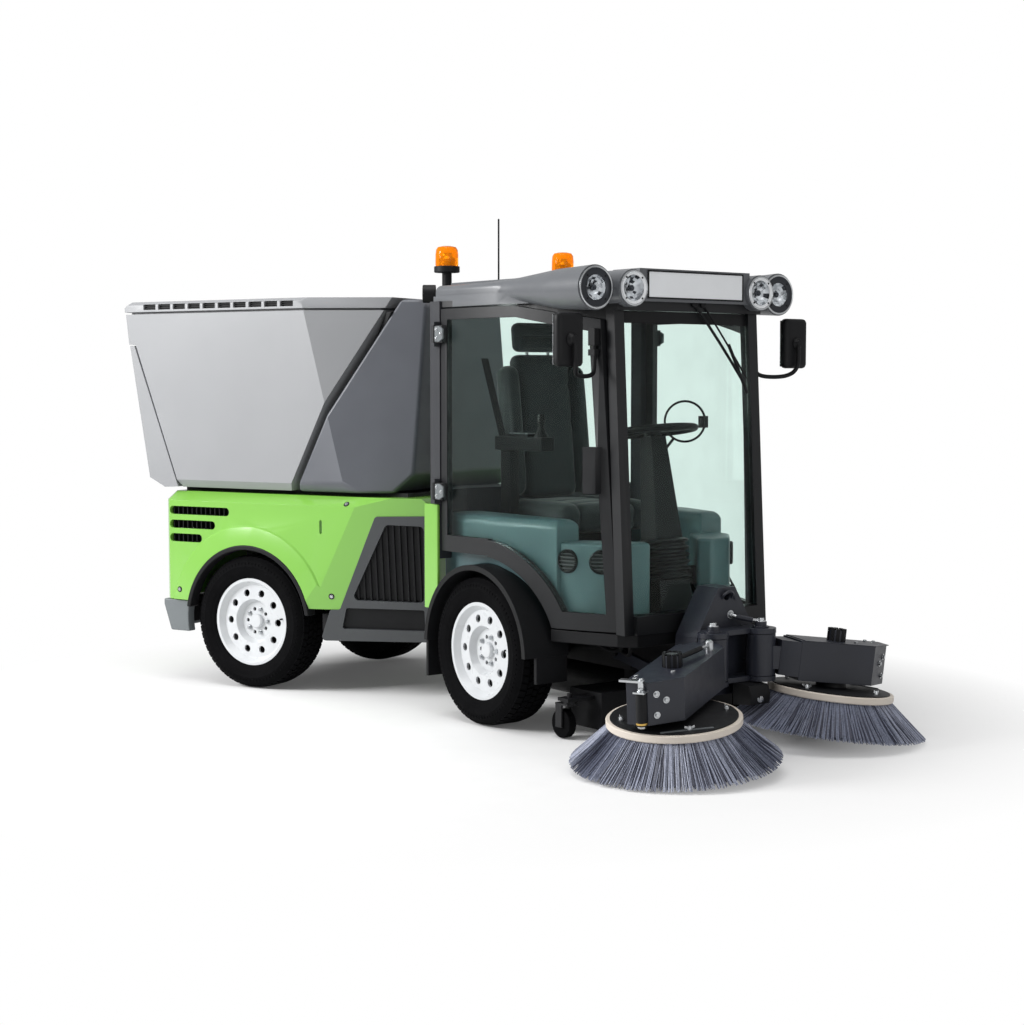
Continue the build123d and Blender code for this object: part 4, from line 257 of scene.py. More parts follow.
# finish, which is also its colour's name: how it is made, the record's slot, options
FINISHES = {
    "green_panel": (coat, "green_panel", dict(
        rough=0.26, drift=0.02, drift_scale=1.5, relief=0.0, lacquer=0.5, wander=0.02,
    )),
    "grey_panel": (coat, "grey_panel", dict(rough=0.42, drift=0.03, drift_scale=2.0, relief=0.10)),
    # painted shade: the tank's darker grey stands for the shade on its front-turned faces
    "grey_dark_panel": (coat, "grey_dark_panel", dict(rough=0.44, drift=0.04, relief=0.10)),
    "bumper_grey": (coat, "grey_panel", dict(rough=0.42, drift=0.04, relief=0.08)),
    "sill_grey": (coat, "grey_dark_panel", dict(rough=0.46, drift=0.05, relief=0.12)),
    "roof_grey": (coat, "roof_grey", dict(rough=0.36, drift=0.03, relief=0.06, lacquer=0.15)),
    "cab_black": (coat, "black_steel", dict(rough=0.40, drift=0.08, relief=0.06, shine=0.35)),
    "black_steel": (coat, "black_steel", dict(rough=0.36, drift=0.08, relief=0.08, shine=0.4)),
    "black_plastic": (coat, "black_plastic", dict(
        rough=0.50, drift=0.10, grain=500.0, relief=0.07, shine=0.2,
    )),
    "frame_steel": (coat, "frame_steel", dict(rough=0.55, drift=0.15, relief=0.10, shine=0.3)),
    "engine_grey": (coat, "engine_grey", dict(rough=0.60, drift=0.20, relief=0.25, metal=0.4)),
    "tyre_rubber": (coat, "tyre_rubber", dict(
        rough=0.66, drift=0.14, drift_scale=18.0, relief=0.15, shine=0.02,
    )),
    "rim_white": (coat, "rim_white", dict(rough=0.28, drift=0.02, relief=0.0, lacquer=0.3, wander=0.03)),
    "glass_tint": (clear, "tinted_glass", dict()),
    "cab_trim": (coat, "grey_dark_panel", dict(rough=0.40, drift=0.05, relief=0.15)),
    "seat_cloth": (weave, "seat_trim", dict(rough=0.85)),
    "bristle": (coat, "bristle", dict(rough=0.42, drift=0.30, drift_scale=160.0)),
    "bristle_dark": (coat, "bristle", dict(rough=0.45, drift=0.30, drift_scale=160.0)),
    "brush_ring": (coat, "brush_ring", dict(rough=0.45, drift=0.04, relief=0.08)),
    "beacon_amber": (clear, "beacon_amber", dict(rough=0.08, through=0.75, glow=0.10)),
    "tail_lens": (clear, "tail_lens", dict(rough=0.10, through=0.5)),
    "lamp_lens": (clear, "lamp_lens", dict()),
    "plate_white": (coat, "plate_white", dict(rough=0.35, drift=0.02, relief=0.02)),
    "zinc": (coat, "frame_steel", dict(rough=0.28, drift=0.10, metal=1.0)),
    "lamp_ring": (coat, "black_steel", dict(rough=0.34, drift=0.06, metal=0.6)),
    # painted reflection: a near-white, partly metal bowl in place of a mirroring one
    "reflector": (coat, "lamp_lens", dict(rough=0.22, drift=0.05, relief=0.0, metal=0.35)),
    "post_grey": (coat, "black_steel", dict(rough=0.40, drift=0.06, relief=0.06, shine=0.35)),
    "brass": (coat, "frame_steel", dict(rough=0.32, drift=0.10, metal=1.0)),
}


def finish(name):
    """A finish by name, made the first time it is asked for."""
    made = bpy.data.materials.get("finish_" + name)
    if made is None:
        maker, _, options = FINISHES[name]
        made = maker(name, getattr(bpy.context.scene.sweeper_colours, name), **options)
    return made


# Shapes

# An edge sharper than this is a crease, and is rounded where a piece asks for it
FACET_ANGLE = math.radians(35.0)
# Faces that bend less than this are joined before rounding
FLAT_ANGLE = math.radians(0.6)
CHANNEL_DEPTH = 0.011
CHANNEL_WIDTH = 0.007


def paint(faces, index):
    """Gives faces one of the piece's finishes."""
    for face in faces:
        face.material_index = index


def faces_of(made):
    """The faces that hang on newly made points."""
    return {face for point in made["verts"] for face in point.link_faces}


def aim(at, along, turn=0.0):
    """A place whose own Z looks along a direction."""
    spin = Vector(along).to_track_quat("Z", "Y").to_matrix().to_4x4()
    return Matrix.Translation(at) @ spin @ Matrix.Rotation(turn, 4, "Z")


def brick(shape, low, high, place=Matrix(), index=0):
    """A box between two corners."""
    low, high = Vector(low), Vector(high)
    size = Matrix.Diagonal((*(high - low), 1.0))
    made = bmesh.ops.create_cube(shape, size=1.0, matrix=place @ Matrix.Translation((low + high) / 2) @ size)
    paint(faces_of(made), index)


def sheet_of(shape, outline, along, place=Matrix(), index=0):
    """A plate: a flat outline of points pushed along a direction."""
    near = [shape.verts.new(place @ Vector(point)) for point in outline]
    far = [shape.verts.new(place @ (Vector(point) + Vector(along))) for point in outline]
    faces = [shape.faces.new(near), shape.faces.new(list(reversed(far)))]
    for i in range(len(near)):
        j = (i + 1) % len(near)
        faces.append(shape.faces.new((near[j], near[i], far[i], far[j])))
    paint(faces, index)


def around(radius, height, steps):
    """Points of a level ring."""
    angles = [math.tau * k / steps for k in range(steps)]
    return [Vector((radius * math.cos(a), radius * math.sin(a), height)) for a in angles]


def turned(shape, profile, place, steps=48, index=0):
    """A turned form: (radius, height) points swept round the place's own Z. A radius of nought closes it."""
    rings = []
    for radius, height in profile:
        if radius < 1e-6:
            rings.append([shape.verts.new(place @ Vector((0, 0, height)))])
            continue
        rings.append([shape.verts.new(place @ point) for point in around(radius, height, steps)])
    made = []
    for near, far in zip(rings, rings[1:]):
        for k in range(steps):
            n = (k + 1) % steps
            points = [near[k % len(near)], near[n % len(near)], far[n % len(far)], far[k % len(far)]]
            made.append(shape.faces.new(list(dict.fromkeys(points))))
    paint(made, index)
    return made


def rod(shape, points, radius, sides=10, index=0, closed=False, place=Matrix()):
    """A round bar along points, with flat ends."""
    points = [place @ Vector(point) for point in points]
    count = len(points)
    rings = []
    up = None
    for i, point in enumerate(points):
        before = points[(i - 1) % count] if closed or i else point
        after = points[(i + 1) % count] if closed or i < count - 1 else point
        along = (after - before).normalized()
        up = along.orthogonal().normalized() if up is None else (up - along * up.dot(along)).normalized()
        side = along.cross(up)
        rings.append([
            shape.verts.new(point + (up * math.cos(a) + side * math.sin(a)) * radius)
            for a in (math.tau * k / sides for k in range(sides))
        ])
    pairs = list(zip(rings, rings[1:])) + ([(rings[-1], rings[0])] if closed else [])
    faces = []
    for near, far in pairs:
        for k in range(sides):
            n = (k + 1) % sides
            faces.append(shape.faces.new((near[k], near[n], far[n], far[k])))
    if not closed:
        faces += [shape.faces.new(list(reversed(rings[0]))), shape.faces.new(rings[-1])]
    paint(faces, index)


def circle(at, along, radius, steps=40):
    """Points of a ring round a direction."""
    place = aim(at, along)
    return [place @ point for point in around(radius, 0, steps)]


def bent(points, steps=6):
    """A smooth line through a few points."""
    points = [Vector(point) for point in points]
    ends = [2 * points[0] - points[1], *points, 2 * points[-1] - points[-2]]
    line = []
    for a, b, c, d in zip(ends, ends[1:], ends[2:], ends[3:]):
        for k in range(steps):
            t = k / steps
            curve = 2 * b + (c - a) * t + (2 * a - 5 * b + 4 * c - d) * t**2 + (3 * b - a - 3 * c + d) * t**3
            line.append(0.5 * curve)
    return [*line, points[-1]]


def bolt(shape, at, along, radius, index=0, place=Matrix()):
    """A washer and a hexagon head."""
    seat = place @ aim(at, along)
    washer = [(0, 0), (radius * 1.5, 0), (radius * 1.5, radius * 0.25), (0, radius * 0.25)]
    turned(shape, washer, seat, 16, index)
    head = [(0, 0), (radius, 0), (radius, radius * 0.9), (radius * 0.8, radius * 1.05), (0, radius * 1.05)]
    turned(shape, head, seat, 6, index)


def cushion(shape, half, radius, crown, place, channels=(), index=0, cuts=22):
    """A padded block with rounded edges and a crowned face toward its own Z, pressed in along sewn channels.

    A channel is an axis (0 or 1) and a place on it.
    """
    pad = bmesh.new()
    bmesh.ops.create_cube(pad, size=2.0)
    bmesh.ops.subdivide_edges(pad, edges=pad.edges, cuts=cuts, use_grid_fill=True)
    inner = [side - radius for side in half]
    for point in pad.verts:
        u, v, w = point.co
        spot = Vector((u * half[0], v * half[1], w * half[2]))
        core = Vector([max(-i, min(i, c)) for i, c in zip(inner, spot)])
        off = spot - core
        if off.length > 1e-9:
            spot = core + off.normalized() * radius
        if w > 0:
            spot.z += crown * w * (1 - u**4) * (1 - v**4)
            for axis, at in channels:
                spot.z -= CHANNEL_DEPTH * w * math.exp(-((spot[axis] - at) / CHANNEL_WIDTH) ** 2)
        point.co = place @ spot
    paint(pad.faces, index)
    mesh = bpy.data.meshes.new("pad")
    pad.to_mesh(mesh)
    pad.free()
    shape.from_mesh(mesh)
    bpy.data.meshes.remove(mesh)


def landed(node, start, along):
    """Where a line from a point meets a solid, and which way that face looks."""
    mesh = frame["nodes"][node].data
    points = [point.co for point in mesh.vertices]
    tree = BVHTree.FromPolygons(points, [face.vertices for face in mesh.polygons])
    at, normal, _, _ = tree.ray_cast(Vector(start), Vector(along))
    if at is None:
        raise RuntimeError("nothing of " + node + " lies ahead of " + str(tuple(start)))
    return at, normal


def place_piece(name, shape, body, looks, place=Matrix(), edge=0.0, stands_for=()):
    """Makes the drawn shape a named piece that rides on a body, with its finishes and rounded edges."""
    bmesh.ops.recalc_face_normals(shape, faces=shape.faces)
    mesh = bpy.data.meshes.new(name)
    shape.transform(place)
    shape.to_mesh(mesh)
    shape.free()
    mesh.polygons.foreach_set("use_smooth", [True] * len(mesh.polygons))
    mesh.set_sharp_from_angle(angle=FACET_ANGLE)
    made = bpy.data.objects.new(name, mesh)
    bpy.context.scene.collection.objects.link(made)
    for look in looks:
        mesh.materials.append(finish(look))
    if edge:
        rounding = made.modifiers.new("edge", "BEVEL")
        rounding.width = edge
        rounding.segments = 2
        rounding.limit_method = "ANGLE"
        rounding.angle_limit = FACET_ANGLE
        rounding.harden_normals = True
    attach(made, body)
    if stands_for:
        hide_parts(*stands_for)
    return made


def cut_away(shape, cutter):
    """Takes the room of one drawn shape out of another."""
    pair = []
    for name, drawn in (("cut_from", shape), ("cut_with", cutter)):
        bmesh.ops.recalc_face_normals(drawn, faces=drawn.faces)
        mesh = bpy.data.meshes.new(name)
        drawn.to_mesh(mesh)
        pair.append(bpy.data.objects.new(name, mesh))
        bpy.context.scene.collection.objects.link(pair[-1])
    cut = pair[0].modifiers.new("cut", "BOOLEAN")
    cut.operation = "DIFFERENCE"
    cut.solver = "EXACT"
    cut.object = pair[1]
    cut_through = pair[0].evaluated_get(bpy.context.evaluated_depsgraph_get())
    left = bpy.data.meshes.new_from_object(cut_through)
    shape.clear()
    shape.from_mesh(left)
    cutter.free()
    for mesh in (left, *[one.data for one in pair]):
        bpy.data.meshes.remove(mesh)


def soften(node, look, edge, cutter=None):
    """Stands a copy with rounded edges in for a solid, less the room of a cutter where one is given."""
    shape = bmesh.new()
    shape.from_mesh(frame["nodes"][node].data)
    bmesh.ops.remove_doubles(shape, verts=shape.verts, dist=1e-5)
    if cutter:
        cut_away(shape, cutter)
    bmesh.ops.dissolve_limit(shape, angle_limit=FLAT_ANGLE, verts=shape.verts, edges=shape.edges)
    paint(shape.faces, 0)
    return place_piece(node + "_shell", shape, BODY_OF[node], [look], edge=edge, stands_for=[node])


def dress(node, look):
    """Gives a solid that is shown as it is its finish."""
    mesh = frame["nodes"][node].data
    mesh.materials.clear()
    mesh.materials.append(finish(look))


def wheel_place(corner):
    """A wheel's centre, with its own Z looking outward."""
    joint = JOINTS["roll_" + corner]
    outward = Vector(joint["axis"]) * (1 if corner.endswith("left") else -1)
    return aim(Vector(joint["pos_m"]), outward)


def arm_place(side):
    """A brush's centre: X on along its arm, Z up its shaft."""
    spin = JOINTS["brush_spin_" + side]
    up = Vector(spin["axis"]).normalized()
    up *= 1 if up.z > 0 else -1
    centre = Vector(spin["pos_m"])
    along = centre - Vector(JOINTS["arm_swing_" + side]["pos_m"])
    along = (along - up * along.dot(up)).normalized()
    turn = Matrix((along, up.cross(along), up)).transposed().to_4x4()
    return Matrix.Translation(centre) @ turn


class SweeperStep:
    """What every step of the sweeper shares."""

    bl_options = {"REGISTER"}

    def execute(self, context):
        """Draws the step's pieces."""
        self.draw_pieces(context.scene.sweeper_sizes)
        return {"FINISHED"}


class SWEEPER_OT_stage(SweeperStep, bpy.types.Operator):
    """Floor, soft light and camera"""

    bl_idname = "sweeper.stage"
    bl_label = "Stage"

    CAMERA = (4.1007, -6.8232, 1.4455)
    LOOK_ROUND = 119.952
    LOOK_DOWN = 4.067
    LENS = 63.28
    SENSOR = 36.0
    FLOOR_HALF = 60.0
    # the floor keeps its shadow up to here, and is white from there
    SHADOW_END = 1.5
    WHITE_START = 2.7
    WHITE_IN_SHADOW = 0.06
    SKY_LIGHT = 0.30
    # name, place, aimed at, size, power
    LAMPS = (
        ("lamp_left", (-5.5, -4.8, 4.0), (-0.6, 0.2, 0.9), 3.5, 620.0),
        ("lamp_top", (0.0, -1.0, 6.5), (0.0, 0.2, 0.5), 5.0, 210.0),
        ("lamp_front", (6.5, -3.0, 2.4), (0.8, 0.0, 0.7), 3.0, 45.0),
    )

    def draw_pieces(self, sizes):
        scene = bpy.context.scene
        scene.view_settings.view_transform = "Standard"
        self.floor()
        self.sky(scene)
        for name, at, target, size, power in self.LAMPS:
            light = bpy.data.lights.new(name, "AREA")
            light.shape = "DISK"
            light.size = size
            light.energy = power
            lamp = bpy.data.objects.new(name, light)
            look = (Vector(target) - Vector(at)).to_track_quat("-Z", "Y").to_matrix().to_4x4()
            lamp.matrix_world = Matrix.Translation(at) @ look
            scene.collection.objects.link(lamp)
        camera = bpy.data.cameras.new("camera")
        camera.lens = self.LENS
        camera.sensor_width = self.SENSOR
        eye = bpy.data.objects.new("camera", camera)
        eye.location = self.CAMERA
        eye.rotation_euler = (math.radians(90 - self.LOOK_DOWN), 0, math.radians(self.LOOK_ROUND - 90))
        scene.collection.objects.link(eye)
        scene.camera = eye

    def seen(self, tree, mirrored):
        """One where the eye or a pane looks, a share where a mirror looks, nought where light falls."""
        path = tree.nodes.new("ShaderNodeLightPath")
        total = number_between(tree, path.outputs["Is Glossy Ray"], 0.0, mirrored, 0.0, 1.0)
        for ray in ("Is Camera Ray", "Is Transmission Ray"):
            most = tree.nodes.new("ShaderNodeMath")
            most.operation = "MAXIMUM"
            tree.links.new(total, most.inputs[0])
            tree.links.new(path.outputs[ray], most.inputs[1])
            total = most.outputs[0]
        return total

    def sky(self, scene):
        """A white surround that lights the sweeper softly."""
        world = bpy.data.worlds.new("surround")
        scene.world = world
        world.use_nodes = True
        tree = world.node_tree
        back = tree.nodes["Background"]
        back.inputs["Color"].default_value = (1, 1, 1, 1)
        strength = number_between(tree, self.seen(tree, 0.3), self.SKY_LIGHT, 1.0, 0.0, 1.0)
        tree.links.new(strength, back.inputs["Strength"])

    def floor(self):
        """A wide pale floor that keeps the shadow near the sweeper and runs out into white."""
        shape = bmesh.new()
        bmesh.ops.create_grid(shape, x_segments=2, y_segments=2, size=self.FLOOR_HALF)
        mesh = bpy.data.meshes.new("floor")
        shape.to_mesh(mesh)
        shape.free()
        ground = bpy.data.objects.new("floor", mesh)
        bpy.context.scene.collection.objects.link(ground)
        made = coat("floor", (0.94, 0.94, 0.94), 0.9, drift=0.01)
        tree = made.node_tree
        surface = tree.nodes["Principled BSDF"]
        surface.inputs["Specular IOR Level"].default_value = 0.0
        glow = tree.nodes.new("ShaderNodeEmission")
        glow.inputs["Strength"].default_value = 1.0
        place = tree.nodes.new("ShaderNodeTexCoord")
        away = tree.nodes.new("ShaderNodeVectorMath")
        away.operation = "LENGTH"
        tree.links.new(place.outputs["Object"], away.inputs[0])
        share = tree.nodes.new("ShaderNodeMath")
        share.operation = "MULTIPLY"
        tree.links.new(self.seen(tree, 0.4), share.inputs[0])
        white = number_between(
            tree, away.outputs["Value"], self.WHITE_IN_SHADOW, 1.0, self.SHADOW_END, self.WHITE_START,
        )
        tree.links.new(white, share.inputs[1])
        blend = tree.nodes.new("ShaderNodeMixShader")
        tree.links.new(share.outputs[0], blend.inputs["Fac"])
        tree.links.new(surface.outputs["BSDF"], blend.inputs[1])
        tree.links.new(glow.outputs["Emission"], blend.inputs[2])
        tree.links.new(blend.outputs["Shader"], tree.nodes["Material Output"].inputs["Surface"])
        mesh.materials.append(made)


class SWEEPER_OT_rear_module(SweeperStep, bpy.types.Operator):
    """Rear body, mouldings, grilles, bumper and chassis"""

    bl_idname = "sweeper.rear_module"
    bl_label = "Rear module"

    # solid, finish, rounding
    MOULDINGS = (
        ("rear_body", "green_panel", 0.012), ("rear_arch_trims", "black_plastic", 0.006),
        ("side_mouldings", "sill_grey", 0.008), ("side_grilles", "black_plastic", 0.0015),
    )
    # sunk bolts and the wedge below the bumper: ahead of the pivot, above the floor
    RECESSES = ((-0.365, 0.898), (-1.340, 0.454), (-0.459, 0.467))
    BUMPER_WEDGE = ((-1.470, 0.240), (-1.470, 0.375), (-1.452, 0.375), (-1.405, 0.240))
    BUMPER_REACH = 0.62
    # cooling slots: front end ahead of the pivot, above the floor
    SLOTS = ((-1.039, 0.838), (-1.125, 0.771), (-1.206, 0.705))
    SLOT_REAR = -1.412
    FIN_PITCH = 0.028
    TAIL_LAMP_Z = (0.612, 0.496)

    def draw_pieces(self, sizes):
        for node, look, edge in self.MOULDINGS:
            soften(node, look, edge)
        soften("rear_bumper", "bumper_grey", sizes.panel_edge, cutter=self.bumper_slope())
        soften("hopper_deck", "black_plastic", sizes.steel_edge)
        for node in ("rear_frame", "rear_axle", "front_frame", "front_axle"):
            soften(node, "frame_steel", sizes.steel_edge)
        soften("engine_block", "engine_grey", sizes.panel_edge)
        self.recesses()
        self.slot_backs()
        self.tail_lamps()

    def bumper_slope(self):
        """Room under the bumper, which leans in towards the road."""
        shape = bmesh.new()
        outline = [(ahead, -self.BUMPER_REACH, up) for ahead, up in self.BUMPER_WEDGE]
        sheet_of(shape, outline, (0, 2 * self.BUMPER_REACH, 0), REAR)
        return shape

    def recesses(self):
        """Sunk bolts of the body panels."""
        shape = bmesh.new()
        cup = [(0.014, -0.001), (0.014, 0.0012), (0.011, 0.0016), (0, 0.0012)]
        for sign in SIDES.values():
            for ahead, up in self.RECESSES:
                at, normal = landed("rear_body", REAR @ Vector((ahead, sign * 0.9, up)), (0, -sign, 0))
                turned(shape, cup, aim(at, normal), 24)
                bolt(shape, at + normal * 0.001, normal, 0.0055, 1)
        place_piece("body_bolts", shape, "rear", ["black_plastic", "zinc"])

    def slot_backs(self):
        """Dark ducts with fins behind the cooling slots."""
        shape = bmesh.new()
        for sign in SIDES.values():
            for last, up in self.SLOTS:
                rear_corner = (self.SLOT_REAR, sign * 0.560, up - 0.026)
                brick(shape, rear_corner, (last + 0.008, sign * 0.572, up + 0.026))
                for k in range(int((last - self.SLOT_REAR - 0.008) / self.FIN_PITCH)):
                    ahead = self.SLOT_REAR + 0.020 + self.FIN_PITCH * k
                    brick(shape, (ahead, sign * 0.571, up - 0.019), (ahead + 0.004, sign * 0.592, up + 0.019))
        place_piece("slot_backs", shape, "rear", ["black_plastic"], REAR)

    def tail_lamps(self):
        """Round lamps in the rear corners."""
        shape = bmesh.new()
        rim = [(0.048, 0.0), (0.048, 0.012), (0.044, 0.016), (0.040, 0.016)]
        lens = [(0.041, 0.010), (0.038, 0.018), (0.024, 0.0225), (0, 0.0238)]
        for sign in SIDES.values():
            for up in self.TAIL_LAMP_Z:
                place = aim((-1.452, sign * 0.500, up), (-1, 0, 0))
                turned(shape, rim, place, 32, 0)
                turned(shape, lens, place, 32, 1)
        looks = ["bumper_grey", "tail_lens"]
        place_piece("tail_lamp_set", shape, "rear", looks, REAR, stands_for=["tail_lamps"])


class SWEEPER_OT_hopper(SweeperStep, bpy.types.Operator):
    """Hopper, lid, tailgate and tank"""

    bl_idname = "sweeper.hopper"
    bl_label = "Hopper and tank"

    # foot and head of the hopper's slanted front edge: ahead of the pivot, above the floor
    SEAM = ((-0.678, 0.975), (-0.268, 1.780))
    # how far ahead of that edge the strip of painted seam shade starts and ends
    SEAM_STRIP = (0.009, 0.040)
    SEAM_STRIP_HALF = 0.420
    LOUVRES = 10
    LOUVRE_REAR = -1.560
    LOUVRE_PITCH = 0.092
    LOUVRE_LONG = 0.074
    SLAT_Z = (1.814, 1.824)

    def draw_pieces(self, sizes):
        for node in ("hopper_shell", "hopper_lid", "hopper_tailgate"):
            soften(node, "grey_panel", sizes.panel_edge)
        # the tank's darker grey is painted shade
        soften("water_tank", "grey_dark_panel", 0.016)
        self.louvres()
        # painted shade in the seam between hopper and tank
        self.seam_shade()

    def seam_shade(self):
        """A black strip on the tank in the slanted gap to the hopper: painted shade for the deep seam."""
        shape = bmesh.new()
        near, far = self.SEAM_STRIP
        foot, head = self.SEAM
        corners = ((foot, near), (head, near), (head, far), (foot, far))
        shade_strip = [(ahead + off, -self.SEAM_STRIP_HALF, up) for (ahead, up), off in corners]
        sheet_of(shape, shade_strip, (0, 2 * self.SEAM_STRIP_HALF, 0))
        place_piece("tank_seam_shade", shape, "rear", ["black_plastic"], REAR, edge=0.006)

    def louvres(self):
        """Dark backs in the openings along the lid, painted shade of the hollows behind them, with slats."""
        shape = bmesh.new()
        for sign in SIDES.values():
            for k in range(self.LOUVRES):
                start = self.LOUVRE_REAR + self.LOUVRE_PITCH * k
                stop = start + self.LOUVRE_LONG
                # a black back in each opening: painted shade
                brick(shape, (start, sign * 0.572, 1.8075), (stop, sign * 0.584, 1.8325))
                for up in self.SLAT_Z:
                    brick(shape, (start, sign * 0.572, up), (stop, sign * 0.592, up + 0.003))
        place_piece("lid_louvres", shape, "hopper", ["black_plastic"], REAR)


class SWEEPER_OT_tyres(SweeperStep, bpy.types.Operator):
    """Four tyres with block tread"""

    bl_idname = "sweeper.tyres"
    bl_label = "Tyres"

    # radius, out from the middle
    SIDE = (
        (0.208, 0.083), (0.214, 0.090), (0.222, 0.0945), (0.226, 0.0945), (0.229, 0.0965), (0.246, 0.1005),
        (0.262, 0.1020), (0.266, 0.1035), (0.270, 0.1020), (0.284, 0.0990), (0.296, 0.0925), (0.304, 0.0840),
    )
    # from, to, slant
    ROWS = (
        (-0.083, -0.052, 0.5), (-0.046, -0.018, -0.4), (-0.012, 0.012, 0.3), (0.018, 0.046, -0.4),
        (0.052, 0.083, 0.5),
    )
    FLANK_RIBS = 88
    SHOULDER_DROP = 0.006

    def draw_pieces(self, sizes):
        for corner in CORNERS:
            low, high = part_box("tyre_" + corner)
            outer = (high.z - low.z) / 2
            base = outer - sizes.tread_depth
            shape = bmesh.new()
            inner_side = [(radius, -out) for radius, out in self.SIDE]
            profile = [*inner_side, (base, -0.080), (base, 0.080), *reversed(self.SIDE), inner_side[0]]
            turned(shape, profile, Matrix(), 96)
            for k in range(self.FLANK_RIBS):
                spin = Matrix.Rotation(math.tau * k / self.FLANK_RIBS, 4, "Z")
                for out in (-1, 1):
                    brick(shape, (0.272, -0.0022, out * 0.0960), (0.285, 0.0022, out * 0.1020), spin)
            self.tread(shape, sizes.tread_blocks, base - 0.002, outer - 0.0005)
            bmesh.ops.remove_doubles(shape, verts=shape.verts, dist=1e-6)
            place_piece("tyre_" + corner + "_cover", shape, "wheel_" + corner, ["tyre_rubber"],
                        wheel_place(corner), stands_for=["tyre_" + corner])

    def tread(self, shape, count, base, outer):
        """Rows of slanted blocks, the shoulder rows rounding down to the flanks."""
        pitch = math.tau / count
        for row, (low, high, slant) in enumerate(self.ROWS):
            shoulder = row in (0, len(self.ROWS) - 1)
            for k in range(count):
                start = pitch * (k + 0.5 * (row % 2))
                corners = []
                for radius in (base, outer):
                    for out, shift in ((low, 0.0), (high, slant * pitch * 0.45)):
                        rounds = shoulder and abs(out) > 0.08 and radius == outer
                        edge = outer - self.SHOULDER_DROP if rounds else radius
                        for angle in (start + shift, start + shift + pitch * 0.80):
                            spot = (edge * math.cos(angle), edge * math.sin(angle), out)
                            corners.append(shape.verts.new(spot))
                a, b, c, d, e, f, g, h = corners
                for quad in ((e, f, h, g), (a, b, f, e), (c, g, h, d), (a, e, g, c), (b, d, h, f)):
                    shape.faces.new(quad)


class SWEEPER_OT_rims(SweeperStep, bpy.types.Operator):
    """Four white wheels with nuts, hub caps and brake drums"""

    bl_idname = "sweeper.rims"
    bl_label = "Wheels"

    NUTS = 5
    NUT_RING = 0.058
    NUT_SEAT = 0.031
    LOOKS = ("zinc", "rim_white", "black_plastic", "frame_steel")

    def draw_pieces(self, sizes):
        washer = [(0.0, 0.0), (0.013, 0.0), (0.013, 0.004), (0.0, 0.004)]
        nut = [(0.0, 0.0), (0.0085, 0.002), (0.0085, 0.013), (0.006, 0.017), (0.0, 0.017)]
        cap = [(0.034, 0.031), (0.034, 0.046), (0.030, 0.051), (0.0, 0.053)]
        valve = [(0.165, 0.02, 0.050), (0.162, 0.02, 0.072)]
        drum = [(0.084, -0.016), (0.172, -0.016), (0.172, 0.004), (0.084, 0.004), (0.084, -0.016)]
        for corner in CORNERS:
            soften("rim_" + corner, "rim_white", 0.003)
            shape = bmesh.new()
            for spot in around(self.NUT_RING, self.NUT_SEAT, self.NUTS):
                seat = aim(spot, (0, 0, 1))
                turned(shape, washer, seat, 16)
                turned(shape, nut, seat, 6)
            turned(shape, cap, Matrix(), 32, 1)
            rod(shape, valve, 0.004, 8, 2)
            turned(shape, drum, Matrix(), 48, 3)
            place_piece("hub_" + corner, shape, "wheel_" + corner, self.LOOKS, wheel_place(corner))


